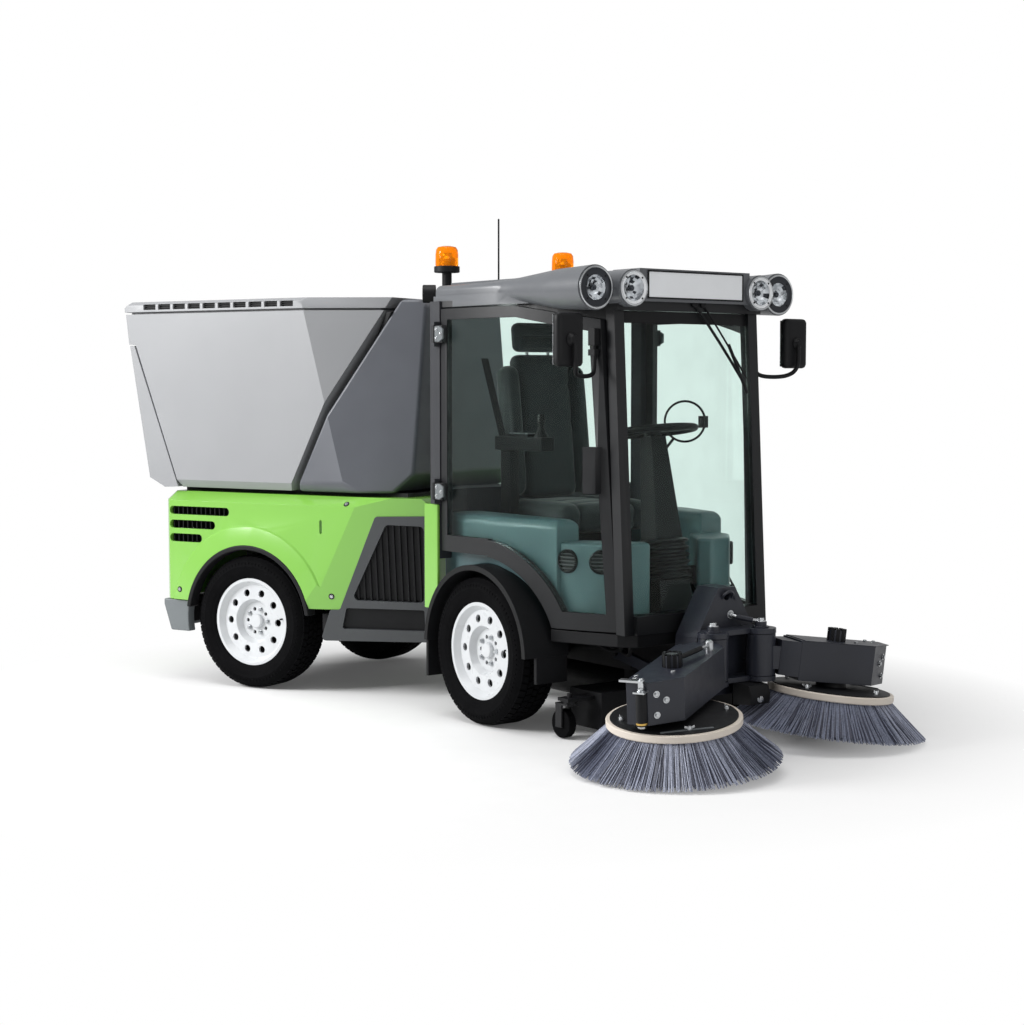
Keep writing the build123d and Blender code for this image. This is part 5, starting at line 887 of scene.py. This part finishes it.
class SWEEPER_OT_cab(SweeperStep, bpy.types.Operator):
    """Cab frame, floor, glass, wipers, dash, fenders and corner panels"""

    bl_idname = "sweeper.cab"
    bl_label = "Cab"

    # two parallel wiper arms and the blade: start and end as aside and up
    WIPERS = (
        ((0.010, 1.772), (0.285, 1.466), 0.006), ((0.058, 1.772), (0.318, 1.470), 0.004),
        ((0.205, 1.610), (0.318, 1.410), 0.007),
    )
    # vent's place ahead and aside, and the way it looks
    VENTS = (((1.210, 0.430), (0.20, 0.98)), ((1.330, 0.355), (0.68, 0.73)))
    VENT_Z = 0.725
    VENT_R = 0.041
    SLAT_PITCH = 0.015
    DASH = ((1.13, 0.30), (1.16, 0.44), (1.26, 0.42), (1.40, 0.29), (1.42, 0.17), (1.36, 0.14))
    # posts behind this place are grey
    GREY_POSTS = 0.56
    # the arc of the doors seen from above: its radius, and its centre ahead and beyond the other side
    DOOR_ARC_R = 1.788
    DOOR_ARC_AHEAD = 0.600
    DOOR_ARC_BEYOND = 1.226
    HEADER_PLACES = (0.98, 1.08, 1.18, 1.28, 1.396)
    HEADER_TOP = 1.777
    # half width, and the lower and upper edge of the dark band on the windscreen
    BAND_HALF = 0.338
    BAND_Z = (1.690, 1.738)
    BAND_STEPS = 16
    # lines under the floor: aside, and how much lower the bend hangs
    LINES = ((-0.27, 0.0), (-0.23, 0.03), (0.28, 0.02))
    BRACKET_ASIDE = 0.31

    def draw_pieces(self, sizes):
        posts = soften("cab_frame", "cab_black", sizes.steel_edge)
        posts.data.materials.append(finish("post_grey"))
        back = FRONT.inverted()
        for face in posts.data.polygons:
            face.material_index = 1 if (back @ face.center).x < self.GREY_POSTS else 0
        soften("cab_floor", "black_plastic", sizes.steel_edge)
        soften("wheel_boxes", "cab_trim", 0.012)
        soften("front_fenders", "black_plastic", 0.005)
        soften("corner_panels", "green_panel", 0.005)
        for node in ("rear_glass", "windscreen"):
            dress(node, "glass_tint")
        self.headers()
        self.screen_fittings()
        self.vents()
        self.underside()

    def headers(self):
        """Panels that close the cab above the sloping tops of the doors."""
        shape = bmesh.new()
        rows = []
        for ahead in self.HEADER_PLACES:
            aside = self.DOOR_ARC_BEYOND - math.sqrt(self.DOOR_ARC_R**2 - (ahead - self.DOOR_ARC_AHEAD) ** 2)
            door_top = 1.768 - 0.064 * max(0.0, ahead - 1.000) / 0.390
            rows.append((ahead, aside, door_top - 0.022))
        for sign in SIDES.values():
            for (x1, y1, z1), (x2, y2, z2) in zip(rows, rows[1:]):
                panel = [(x1, -sign * y1, z1), (x2, -sign * y2, z2),
                         (x2, -sign * y2, self.HEADER_TOP), (x1, -sign * y1, self.HEADER_TOP)]
                sheet_of(shape, panel, (0, -sign * 0.010, 0))
        place_piece("door_headers", shape, "front", ["cab_black"], FRONT)

    def on_screen(self, aside, up, off):
        """A point a little ahead of the windscreen."""
        return Vector((1.504 - 0.0575 * (up - 0.452) + 0.034 * (1 - (aside / 0.340) ** 2) + off, aside, up))

    def screen_fittings(self):
        """Wipers and the dark band along the top of the windscreen."""
        shape = bmesh.new()
        for start, end, radius in self.WIPERS:
            spots = [Vector(start).lerp(Vector(end), t) for t in (0, 0.25, 0.5, 0.75, 1)]
            rod(shape, [self.on_screen(aside, up, 0.014) for aside, up in spots], radius, 8)
        pivot = [(0.014, 0.0), (0.014, 0.018), (0.009, 0.022), (0, 0.022)]
        for (aside, up), _, _ in self.WIPERS[:2]:
            turned(shape, pivot, aim(self.on_screen(aside, up, 0.0), (1, 0, 0)), 16)
        places = [self.BAND_HALF * (2 * k / self.BAND_STEPS - 1) for k in range(self.BAND_STEPS + 1)]
        band = [[self.on_screen(aside, up, 0.0006) for up in self.BAND_Z] for aside in places]
        for (a, b), (c, d) in zip(band, band[1:]):
            shape.faces.new([shape.verts.new(point) for point in (a, c, d, b)])
        place_piece("screen_fittings", shape, "front", ["black_plastic"], FRONT)

    def vents(self):
        """Dash mouldings beside the column, with round vents."""
        shape = bmesh.new()
        for sign in SIDES.values():
            sheet_of(shape, [(x, sign * y, 0.500) for x, y in self.DASH], (0, 0, 0.300))
        place_piece("cab_dash", shape, "front", ["cab_trim"], FRONT, edge=0.014)
        shape = bmesh.new()
        ring = [(0.050, 0.0), (0.050, 0.010), (0.045, 0.014), (self.VENT_R, 0.012), (self.VENT_R, 0.002),
                (0, 0.002)]
        for sign in SIDES.values():
            for spot, look in self.VENTS:
                place = aim((spot[0], sign * spot[1], self.VENT_Z), (look[0], sign * look[1], 0))
                turned(shape, ring, place, 32)
                for k in range(-2, 3):
                    at = k * self.SLAT_PITCH
                    half = math.sqrt(self.VENT_R**2 - at**2)
                    brick(shape, (-half, at - 0.002, 0.002), (half, at + 0.002, 0.010), place, 1)
        place_piece("cab_vents", shape, "front", ["black_plastic", "sill_grey"], FRONT)

    def underside(self):
        """Lines and brackets under the front of the cab."""
        shape = bmesh.new()
        union = [(0.014, 0), (0.014, 0.025), (0.010, 0.03), (0, 0.03)]
        for aside, drop in self.LINES:
            path = [(1.36, aside, 0.448), (1.365, aside, 0.40 - drop), (1.33, aside + 0.02, 0.36 - drop),
                    (1.26, aside + 0.03, 0.345), (1.18, aside + 0.03, 0.36)]
            rod(shape, bent(path), 0.008, 10)
            turned(shape, union, aim((1.36, aside, 0.42), (0, 0, 1)), 6, 1)
        bracket = [(1.34, 0, 0.452), (1.42, 0, 0.452), (1.41, 0, 0.40), (1.36, 0, 0.385)]
        for sign in SIDES.values():
            aside = sign * self.BRACKET_ASIDE
            sheet_of(shape, bracket, (0, 0.008, 0), Matrix.Translation((0, aside, 0)), 0)
            bolt(shape, (1.385, aside + (0.008 if sign > 0 else 0), 0.42), (0, sign, 0), 0.009, 1)
        place_piece("front_lines", shape, "front", ["black_plastic", "zinc"], FRONT)


class SWEEPER_OT_doors(SweeperStep, bpy.types.Operator):
    """Doors with frames, glass, hinges and mirrors"""

    bl_idname = "sweeper.doors"
    bl_label = "Doors"

    HINGE_X = 0.556
    HINGE_Z = (0.985, 1.661)
    HINGE_THICK = 0.008
    # hinge plate and its bolts: ahead of the pivot, up from the hinge's middle
    HINGE_PLATE = (
        (0.531, -0.032), (0.560, -0.034), (0.590, -0.020), (0.590, 0.020), (0.560, 0.034), (0.531, 0.032),
    )
    HINGE_BOLTS = ((0.543, -0.019), (0.543, 0.019), (0.576, 0.0))
    # the right mirror's bent arm
    MIRROR_ARM = (
        (1.372, -0.432, 1.640), (1.384, -0.440, 1.520), (1.400, -0.470, 1.482), (1.440, -0.570, 1.482),
        (1.474, -0.606, 1.520), (1.476, -0.612, 1.612),
    )

    def draw_pieces(self, sizes):
        for side, sign in SIDES.items():
            soften("door_frame_" + side, "cab_black", sizes.steel_edge)
            dress("door_glass_" + side, "glass_tint")
            self.hinges(side, sign)
            self.mirror(side, sign)

    def hinges(self, side, sign):
        """Cast hinge plates with three bolts on the door."""
        shape = bmesh.new()
        inward = FRONT.to_3x3() @ Vector((0, -sign, 0))
        out = sign * self.HINGE_THICK
        for up in self.HINGE_Z:
            at, _ = landed("door_frame_" + side, FRONT @ Vector((self.HINGE_X, sign * 0.9, up)), inward)
            face = FRONT.inverted() @ at
            sheet_of(shape, [(x, face.y, up + z) for x, z in self.HINGE_PLATE], (0, out, 0))
            for x, z in self.HINGE_BOLTS:
                bolt(shape, (x, face.y + out, up + z), (0, sign, 0), 0.0060, 1)
        place_piece("door_hinges_" + side, shape, "door_" + side, ["bumper_grey", "zinc"], FRONT, edge=0.002)

    def mirror(self, side, sign):
        """A rounded mirror on its bent arm."""
        shape = bmesh.new()
        turn = Matrix.Diagonal((1, -sign, 1, 1))
        place = turn @ aim((1.440, -0.617, 1.620), (1, 0, 0))
        cushion(shape, (0.066, 0.106, 0.022), 0.019, 0.0, place, cuts=12)
        turned(shape, [(0.026, 0.018), (0.026, 0.026), (0.018, 0.034), (0.015, 0.042), (0, 0.044)], place, 24)
        rod(shape, bent(self.MIRROR_ARM, 8), 0.009, 12, place=turn)
        brick(shape, (1.352, -0.446, 1.600), (1.392, -0.420, 1.668), turn)
        brick(shape, (1.352, -0.446, 1.560), (1.392, -0.424, 1.585), turn)
        brick(shape, (1.4165, -0.675, 1.522), (1.4185, -0.559, 1.718), turn, 1)
        place_piece("mirror_" + side, shape, "door_" + side, ["black_plastic", "zinc"], FRONT,
                    stands_for=["door_mirror_" + side])


class SWEEPER_OT_roof(SweeperStep, bpy.types.Operator):
    """Roof moulding, work lamps, plate and beacons"""

    bl_idname = "sweeper.roof"
    bl_label = "Roof"

    LAMP_LOOKS = ("zinc", "reflector", "lamp_lens", "black_plastic", "lamp_ring", "plate_white")
    # place ahead, place aside, outer radius, lens radius, which of the looks the ring has; the inner lamps'
    # white ring is a painted highlight
    LAMP_ROWS = ((1.463, 0.499, 0.087, 0.050, 4), (1.512, 0.346, 0.073, 0.052, 5))
    LAMP_Z = 1.825
    # the looks that a facet of the bowl is drawn from, bright and dark at random: painted reflections of the
    # bowl
    FACET_GLINT_LOOKS = (1, 1, 1, 0, 0, 4)
    FACE_SCREWS = 4
    # lower and upper corner of the plate and of its frame's bars: aside, up
    PLATE = ((-0.260, 1.787), (0.260, 1.899))
    PLATE_BARS = (
        ((-0.260, 1.787), (0.260, 1.793)), ((-0.260, 1.893), (0.260, 1.899)),
        ((-0.260, 1.787), (-0.254, 1.899)), ((0.254, 1.787), (0.260, 1.899)),
    )

    def draw_pieces(self, sizes):
        soften("roof", "roof_grey", sizes.panel_edge, cutter=self.pockets())
        soften("roof_fittings", "black_plastic", 0.004)
        self.lamps()
        self.plate()
        self.beacons()

    def pockets(self):
        """Room for the lamps' bowls in the ends of the pods."""
        shape = bmesh.new()
        for sign in SIDES.values():
            for ahead, aside, _, lens, _ in self.LAMP_ROWS:
                place = FRONT @ aim((ahead, sign * aside, self.LAMP_Z), (1, 0, 0))
                room = [(0, -0.040), (lens + 0.001, -0.040), (lens + 0.001, 0.020), (0, 0.020)]
                turned(shape, room, place, 48)
        return shape

    def lamps(self):
        """Round lamps with a flat face ring, a faceted bowl whose facets paint its reflections, a bulb cover
        and a lens.
        """
        dice = random.Random(3)
        shape = bmesh.new()
        for sign in SIDES.values():
            for ahead, aside, outer, lens, look in self.LAMP_ROWS:
                place = aim((ahead, sign * aside, self.LAMP_Z), (1, 0, 0))
                flat = outer - 0.010
                edge = outer - 0.003
                ring = [(lens, -0.004), (lens, 0.004), (lens + 0.004, 0.0065), (flat, 0.0065)]
                # the inner lamps' ring in plate white: painted highlight of the light on it
                turned(shape, ring, place, 48, look)
                rim = [(flat, 0.0065), (outer - 0.007, 0.0085), (edge, 0.006), (edge, -0.004)]
                turned(shape, rim, place, 48, 0)
                bowl = [(lens, 0.001), (lens * 0.82, -0.010), (lens * 0.62, -0.020), (lens * 0.4, -0.029),
                        (0, -0.034)]
                # each facet takes a bright or dark finish at random: painted reflections
                for face in turned(shape, bowl, place, 14):
                    face.material_index = dice.choice(self.FACET_GLINT_LOOKS)
                turned(shape, [(0.012, -0.03), (0.012, -0.012), (0.008, -0.007), (0, -0.006)], place, 16, 4)
                turn = Matrix.Rotation(math.pi / self.FACE_SCREWS, 4, "Z")
                for spot in around((flat + lens) / 2, 0.0065, self.FACE_SCREWS):
                    seat = place @ Matrix.Translation(turn @ spot)
                    turned(shape, [(0.004, 0.0), (0.004, 0.0015), (0, 0.0022)], seat, 10, 3)
                turned(shape, [(lens, 0.002), (lens * 0.7, 0.005), (0, 0.0065)], place, 32, 2)
        place_piece("work_lamp_set", shape, "front", self.LAMP_LOOKS, FRONT, stands_for=["work_lamps"])

    def plate(self):
        """A blank plate in a thin frame."""
        shape = bmesh.new()
        low, high = self.PLATE
        brick(shape, (1.496, *low), (1.4995, *high), index=0)
        for low, high in self.PLATE_BARS:
            brick(shape, (1.496, *low), (1.501, *high), index=1)
        place_piece("front_plate_blank", shape, "front", ["plate_white", "black_plastic"], FRONT,
                    stands_for=["front_plate"])

    def beacons(self):
        """Amber domes over a bright reflector."""
        shape = bmesh.new()
        dome = [(0.050, 1.978), (0.052, 1.984), (0.0515, 2.030), (0.049, 2.052), (0.041, 2.064),
                (0.022, 2.0685), (0, 2.069)]
        core = [(0.030, 1.979), (0.034, 2.010), (0.020, 2.024), (0.020, 2.036), (0, 2.040)]
        for sign in SIDES.values():
            place = Matrix.Translation((0.196, sign * 0.333, 0))
            turned(shape, dome, place, 48, 0)
            turned(shape, core, place, 24, 1)
        looks = ["beacon_amber", "zinc"]
        place_piece("beacon_domes", shape, "front", looks, FRONT, stands_for=["beacon_lenses"])


class SWEEPER_OT_seat(SweeperStep, bpy.types.Operator):
    """Driver's seat, armrest, belt, steering and pedals"""

    bl_idname = "sweeper.seat"
    bl_label = "Seat and steering"

    FILL = 0.8
    # which way the seat back and the headrest look
    LEAN = (1, 0, 0.117)
    KEYS = 5
    KEY_PITCH = 0.028
    # near edges of the two rows of keys
    KEY_ROWS = (-0.316, -0.294)
    COLUMN_FOOT = (1.340, 0, 0.500)
    COLUMN_HEAD = (1.232, 0, 1.226)
    BELLOWS_RIBS = 6
    RIB_PITCH = 0.030
    PEDAL_ASIDE = 0.150

    def draw_pieces(self, sizes):
        soften("seat_frame", "black_plastic", 0.010)
        soften("steering_column", "black_plastic", 0.012)
        soften("steering_wheel", "black_plastic", 0.002)
        self.pads()
        self.controls()

    def pads(self):
        """Crowned cushions with side bolsters and sewn channels."""
        shape = bmesh.new()
        place = Matrix.Translation((0.722, 0, 0.866))
        cushion(shape, (0.235, 0.160, 0.060), 0.040, 0.014, place, [(0, -0.10), (0, 0.03), (0, 0.15)])
        for sign in SIDES.values():
            side = Matrix.Translation((0.722, sign * 0.192, 0.868))
            cushion(shape, (0.235, 0.050, 0.062), 0.045, 0.012, side)
        low = place_piece("seat_pad", shape, "front", ["seat_cloth"], FRONT, stands_for=["seat_cushion"])
        shape = bmesh.new()
        lean = aim((0.478, 0, 1.258), self.LEAN)
        cushion(shape, (0.150, 0.322, 0.042), 0.036, 0.014, lean, [(1, -0.14), (1, 0.02), (1, 0.18)])
        for sign in SIDES.values():
            bolster = lean @ Matrix.Translation((sign * 0.186, -0.02, 0.008))
            cushion(shape, (0.046, 0.290, 0.050), 0.042, 0.010, bolster)
        headrest = aim((0.424, 0, 1.657), self.LEAN)
        cushion(shape, (0.128, 0.066, 0.033), 0.030, 0.012, headrest, [(1, 0.0)])
        for sign in SIDES.values():
            rod(shape, [(0.440, sign * 0.060, 1.560), (0.426, sign * 0.060, 1.640)], 0.007, 10, 1)
        looks = ["seat_cloth", "zinc"]
        back = place_piece("seat_back_pad", shape, "front", looks, FRONT, stands_for=["seat_back"])

    def controls(self):
        """Joystick, keypad, steering bellows, a ring by the wheel, belt and pedals."""
        shape = bmesh.new()
        stick = Matrix.Translation((0.850, -0.296, 0))
        boot = [(0.032, 1.218), (0.030, 1.228), (0.021, 1.240), (0.016, 1.256), (0.013, 1.264),
                (0.018, 1.286), (0.019, 1.302), (0.014, 1.318), (0, 1.320)]
        turned(shape, boot, stick, 24)
        brick(shape, (0.640, -0.322, 1.218), (0.790, -0.270, 1.232))
        for k in range(self.KEYS):
            start = 0.650 + self.KEY_PITCH * k
            for aside in self.KEY_ROWS:
                brick(shape, (start, aside, 1.232), (start + 0.020, aside + 0.018, 1.236), index=1)
        foot = Vector(self.COLUMN_FOOT)
        along = (Vector(self.COLUMN_HEAD) - foot).normalized()
        ribs = []
        for k in range(self.BELLOWS_RIBS):
            low = self.RIB_PITCH * k
            ribs += [(0.094, low), (0.110, low + 0.008), (0.110, low + 0.014), (0.094, low + 0.022)]
        turned(shape, ribs, aim(foot + along * 0.13, along), 32)
        rod(shape, circle((1.300, 0.120, 1.290), (0.83, -0.555, 0.0), 0.085), 0.005, 8, closed=True)
        rod(shape, [(1.290, 0.070, 1.222), (1.262, 0.020, 1.150)], 0.006, 8)
        brick(shape, (1.290, 0.205, 1.262), (1.310, 0.243, 1.312))
        belt = [(0.470, -0.300, 1.560), (0.478, -0.345, 1.560),
                (0.610, -0.262, 0.940), (0.600, -0.220, 0.940)]
        sheet_of(shape, belt, (0.002, -0.001, 0))
        for sign in SIDES.values():
            aside = sign * self.PEDAL_ASIDE
            brick(shape, (1.300, aside - 0.035, 0.600), (1.312, aside + 0.035, 0.680))
            rod(shape, [(1.306, aside, 0.610), (1.380, aside, 0.520)], 0.008, 8)
        place_piece("cab_controls", shape, "front", ["black_plastic", "bumper_grey"], FRONT)


class SWEEPER_OT_brush_gear(SweeperStep, bpy.types.Operator):
    """Lift arms, tower, brush arms, suction mouth and casters"""

    bl_idname = "sweeper.brush_gear"
    bl_label = "Brush gear"

    CAP_RIBS = 10
    LID_Z = 0.196
    # where the lid and the neck behind it start, back along the arm
    ARM_START = {"right": -0.300, "left": -0.180}
    NECK_LONG = {"right": 0.093, "left": 0.082}
    # the spring's cylinder on the right arm: along, aside
    SPRING = (0.252, -0.030)
    ROD_ENDS = ((-0.020, 0.010), (-0.250, 0.059))
    # the tower's front face, and its pins' place ahead and aside
    TOWER_FACE = 1.692
    PIN_AHEAD = 1.775
    PINS_ASIDE = (-0.150, 0.110)
    LIFTING_EYE = (
        (1.690, -0.026, 0.588), (1.704, -0.022, 0.606), (1.708, 0, 0.616), (1.704, 0.022, 0.606),
        (1.690, 0.026, 0.588),
    )
    # small bolts of the tower: aside, up
    TOWER_BOLTS = ((-0.060, 0.470), (0.080, 0.470), (-0.090, 0.330), (0.095, 0.330), (0.045, 0.585))
    # outline of the guard box from the side: ahead, up
    GUARD = ((1.745, 0.165), (1.845, 0.175), (1.850, 0.215), (1.835, 0.250), (1.745, 0.258))

    def draw_pieces(self, sizes):
        for node in ("lift_arms", "brush_tower", "brush_arm_right", "brush_arm_left"):
            soften(node, "black_steel", sizes.steel_edge)
        soften("suction_mouth", "black_plastic", sizes.steel_edge)
        for side, sign in SIDES.items():
            soften("caster_fork_" + side, "frame_steel", 0.003)
            soften("caster_wheel_" + side, "tyre_rubber", 0.008)
            self.arm_fittings(side, sign)
        self.tower_fittings()

    def arm_fittings(self, side, sign):
        """Bolts, lid, neck and the motor's ribbed cap, and on the right arm the spring that holds it."""
        shape = bmesh.new()
        ahead = -sign
        near, far = Vector((0.236, -0.011 * ahead, 0)), Vector((0.132, 0.093 * ahead, 0))
        out = Vector((1, ahead, 0)).normalized()
        for share, up in ((0.24, 0.150), (0.50, 0.124), (0.24, 0.072)):
            bolt(shape, near.lerp(far, share) + Vector((0, 0, up)), out, 0.0085)
        for k in range(self.CAP_RIBS):
            place = Matrix.Rotation(math.tau * k / self.CAP_RIBS, 4, "Z")
            brick(shape, (0.024, -0.007, self.LID_Z), (0.0375, 0.007, 0.250), place, 1)
        turned(shape, [(0.022, 0.243), (0.022, 0.247), (0, 0.247)], Matrix(), 20, 0)
        for along, aside in ((0.205, -0.070 * ahead), (0.170, -0.078 * ahead), (0.075, 0.030 * ahead)):
            bolt(shape, (along, aside, self.LID_Z), (0, 0, 1), 0.0085)
        start = self.ARM_START[side]
        lid = [(start, -0.095), (0.240, -0.095), (0.240, 0.0), (0.134, 0.095), (start, 0.095)]
        sheet_of(shape, [(x, y * ahead, self.LID_Z) for x, y in lid], (0, 0, 0.003), index=2)
        root = start - self.NECK_LONG[side]
        neck = [(start - 0.02, -0.091), (start + 0.01, -0.091), (start + 0.01, 0.091), (start - 0.02, 0.091),
                (root, 0.052), (root, -0.052)]
        sheet_of(shape, [(x, y, 0.049) for x, y in neck], (0, 0, 0.141), index=2)
        if side == "right":
            self.spring(shape)
        looks = ["zinc", "black_plastic", "black_steel", "brass"]
        place_piece("arm_fittings_" + side, shape, "arm_" + side, looks, arm_place(side))

    def spring(self, shape):
        """A spring cylinder on the outer corner, its bright bracket and the rod along the arm."""
        at = Matrix.Translation((*self.SPRING, 0))
        barrel = [(0, 0.040), (0.020, 0.040), (0.0205, 0.050), (0.0205, 0.158), (0.017, 0.164), (0, 0.164)]
        turned(shape, barrel, at, 24, 1)
        collar = [(0.0215, 0.046), (0.0215, 0.053), (0.0205, 0.053), (0.0205, 0.046), (0.0215, 0.046)]
        turned(shape, collar, at, 24, 3)
        turned(shape, [(0, 0.030), (0.012, 0.030), (0.016, 0.034), (0.016, 0.040), (0, 0.040)], at, 6, 0)
        brick(shape, (0.228, -0.052, 0.164), (0.276, -0.008, 0.170))
        brick(shape, (0.232, -0.112, 0.199), (0.256, -0.020, 0.207))
        brick(shape, (0.236, -0.040, 0.164), (0.252, -0.020, 0.207))
        bolt(shape, (*self.SPRING, 0.170), (0, 0, 1), 0.010)
        bolt(shape, (0.244, -0.030, 0.207), (0, 0, 1), 0.008)
        rod(shape, [(-0.020, 0.010, 0.222), (-0.190, 0.046, 0.222)], 0.010, 12, 1)
        rod(shape, [(-0.185, 0.045, 0.222), (-0.250, 0.059, 0.222)], 0.006, 10, 0)
        post = [(0.016, 0.199), (0.016, 0.232), (0.010, 0.240), (0, 0.240)]
        for spot in self.ROD_ENDS:
            turned(shape, post, Matrix.Translation((*spot, 0)), 12, 0)

    def tower_fittings(self):
        """Lifting eye, adjusting rod, pin nuts and the guard box under the clevis."""
        shape = bmesh.new()
        rod(shape, bent(self.LIFTING_EYE), 0.006, 10, 0)
        collar = [(0.034, 0.470), (0.034, 0.476), (0.024, 0.476), (0.024, 0.494), (0, 0.494)]
        for pin in self.PINS_ASIDE:
            turned(shape, collar, Matrix.Translation((self.PIN_AHEAD, pin, 0)), 24, 0)
            bolt(shape, (self.PIN_AHEAD, pin, 0.494), (0, 0, 1), 0.014, 1)
        rod(shape, [(1.694, 0.020, 0.520), (1.716, 0.036, 0.512)], 0.007, 10, 1)
        rod(shape, [(1.712, 0.033, 0.513), (1.758, 0.082, 0.500)], 0.011, 12, 0)
        rod(shape, [(1.754, 0.078, 0.501), (1.772, 0.104, 0.497)], 0.007, 10, 1)
        bolt(shape, (self.TOWER_FACE, 0.020, 0.520), (1, 0, 0), 0.012, 1)
        for aside, up in self.TOWER_BOLTS:
            bolt(shape, (self.TOWER_FACE, aside, up), (1, 0, 0), 0.006, 0)
        sheet_of(shape, [(x, -0.012, z) for x, z in self.GUARD], (0, 0.106, 0), index=2)
        bolt(shape, (1.846, 0.040, 0.198), (1, 0, 0.1), 0.011, 1)
        looks = ["black_steel", "zinc", "black_plastic"]
        place_piece("tower_fittings", shape, "tower", looks, FRONT, edge=0.002)


class SWEEPER_OT_brushes(SweeperStep, bpy.types.Operator):
    """Brush discs and their bristles"""

    bl_idname = "sweeper.brushes"
    bl_label = "Brushes"

    # radii of the rows at the disc and of the outer row's tips; each next row's tips lie a step further in
    ROOTS = (0.243, 0.232, 0.221, 0.208, 0.194)
    TIP_R = 0.400
    ROW_STEP = 0.022
    # how far below the disc's centre the roots and the longest tips lie
    ROOT_DROP = 0.020
    TIP_DROP = 0.1545
    DARK_SHARE = 0.30
    SEEDS = {"right": 7, "left": 11}
    WING_NUTS = 4
    # turn of the first wing nut, as a share of the way to the next
    NUT_TURN = 0.4

    def draw_pieces(self, sizes):
        for side in SIDES:
            place = arm_place(side)
            self.disc(side, place)
            self.skirt(side, place, sizes)

    def disc(self, side, place):
        """A cream ring under a black cover with wing nuts."""
        shape = bmesh.new()
        ring = [(0.236, -0.022), (0.253, -0.022), (0.256, -0.018), (0.256, 0.003), (0.253, 0.006),
                (0.236, 0.006), (0.236, -0.022)]
        turned(shape, ring, Matrix(), 96, 0)
        cover = [(0, -0.020), (0.240, -0.020), (0.240, 0.0095), (0.232, 0.011), (0.070, 0.011),
                 (0.062, 0.014), (0.060, 0.035), (0.021, 0.0355), (0.021, 0.016), (0, 0.016)]
        turned(shape, cover, Matrix(), 96, 1)
        wing = [(0.005, 0.004), (0.020, 0.010), (0.018, 0.018), (0.004, 0.012)]
        for k in range(self.WING_NUTS):
            angle = math.tau * (k + self.NUT_TURN) / self.WING_NUTS
            spin = Matrix.Rotation(angle, 4, "Z") @ Matrix.Translation((0.203, 0, 0.011))
            turned(shape, [(0.009, 0), (0.009, 0.008), (0.006, 0.016), (0, 0.017)], spin, 10, 2)
            for turn in (-1, 1):
                sheet_of(shape, [(0, turn * y, z) for y, z in wing], (0.002, 0, 0), spin, 2)
        strip = Matrix.Rotation(math.tau * self.NUT_TURN / self.WING_NUTS, 4, "Z")
        brick(shape, (0.198, -0.110, 0.011), (0.210, 0.090, 0.0135), strip, 3)
        node = "brush_disc_" + side
        looks = ["brush_ring", "black_plastic", "zinc", "bumper_grey"]
        place_piece(node + "_top", shape, "brush_" + side, looks, place, stands_for=[node])

    def skirt(self, side, place, sizes):
        """Rows of straight bristles in two shades, over a dark cone that is partly dense inner bristles and
        partly painted shade among them.
        """
        dice = random.Random(self.SEEDS[side])
        shape = bmesh.new()
        for row, root in enumerate(self.ROOTS):
            for k in range(sizes.bristle_count):
                angle = math.tau * (k + dice.uniform(-0.5, 0.5)) / sizes.bristle_count
                lean = dice.gauss(0.0, 0.018)
                share = 1.0 - abs(dice.gauss(0.0, 0.028))
                reach = root + (self.TIP_R - self.ROW_STEP * row - root) * share
                drop = self.ROOT_DROP + (self.TIP_DROP - self.ROOT_DROP) * share
                start = Vector((root * math.cos(angle), root * math.sin(angle), -self.ROOT_DROP))
                end = Vector((reach * math.cos(angle + lean), reach * math.sin(angle + lean), -drop))
                bow = Vector((math.cos(angle), math.sin(angle), 0.8)) * dice.uniform(-0.006, 0.0)
                line = [start.lerp(end, t) + bow * math.sin(math.pi * t) for t in (0, 0.5, 1)]
                shade = 1 if dice.random() < self.DARK_SHARE else 0
                rod(shape, line, sizes.bristle_width * dice.uniform(0.40, 0.58), 3, shade)
        # a dark cone under the rows: partly the dense inner bristles, partly painted shade
        low = 0.012 - self.TIP_DROP
        top = -self.ROOT_DROP
        turned(shape, [(0.180, top), (0.236, top), (0.372, low), (0.300, low), (0.180, top)], Matrix(), 96, 1)
        node = "brush_bristles_" + side
        looks = ["bristle", "bristle_dark"]
        place_piece(node + "_tufts", shape, "brush_" + side, looks, place, stands_for=[node])


STEPS = (
    SWEEPER_OT_stage, SWEEPER_OT_rear_module, SWEEPER_OT_hopper, SWEEPER_OT_tyres, SWEEPER_OT_rims,
    SWEEPER_OT_cab, SWEEPER_OT_doors, SWEEPER_OT_roof, SWEEPER_OT_seat, SWEEPER_OT_brush_gear,
    SWEEPER_OT_brushes,
)


class SWEEPER_PT_steps(bpy.types.Panel):
    """Lists the steps, colours and sizes of the sweeper"""

    bl_idname = "SWEEPER_PT_steps"
    bl_label = "Compact sweeper"
    bl_space_type = "VIEW_3D"
    bl_region_type = "UI"
    bl_category = "Sweeper"

    def draw(self, context):
        """Draws the sidebar."""
        for step in STEPS:
            self.layout.operator(step.bl_idname)
        for group in (context.scene.sweeper_sizes, context.scene.sweeper_colours):
            for name in group.bl_rna.properties.keys():
                if name not in ("rna_type", "name"):
                    self.layout.prop(group, name)


CLASSES = (SweeperColours, SweeperSizes, *STEPS, SWEEPER_PT_steps)


def register():
    """Adds the steps, the sidebar and the settings."""
    for item in CLASSES:
        bpy.utils.register_class(item)
    bpy.types.Scene.sweeper_colours = bpy.props.PointerProperty(type=SweeperColours)
    bpy.types.Scene.sweeper_sizes = bpy.props.PointerProperty(type=SweeperSizes)


def unregister():
    """Takes them away again."""
    del bpy.types.Scene.sweeper_sizes
    del bpy.types.Scene.sweeper_colours
    for item in reversed(CLASSES):
        bpy.utils.unregister_class(item)


def main():
    """Builds the whole sweeper."""
    register()
    for step in STEPS:
        group, name = step.bl_idname.split(".")
        getattr(getattr(bpy.ops, group), name)()


if __name__ == "__main__":
    main()
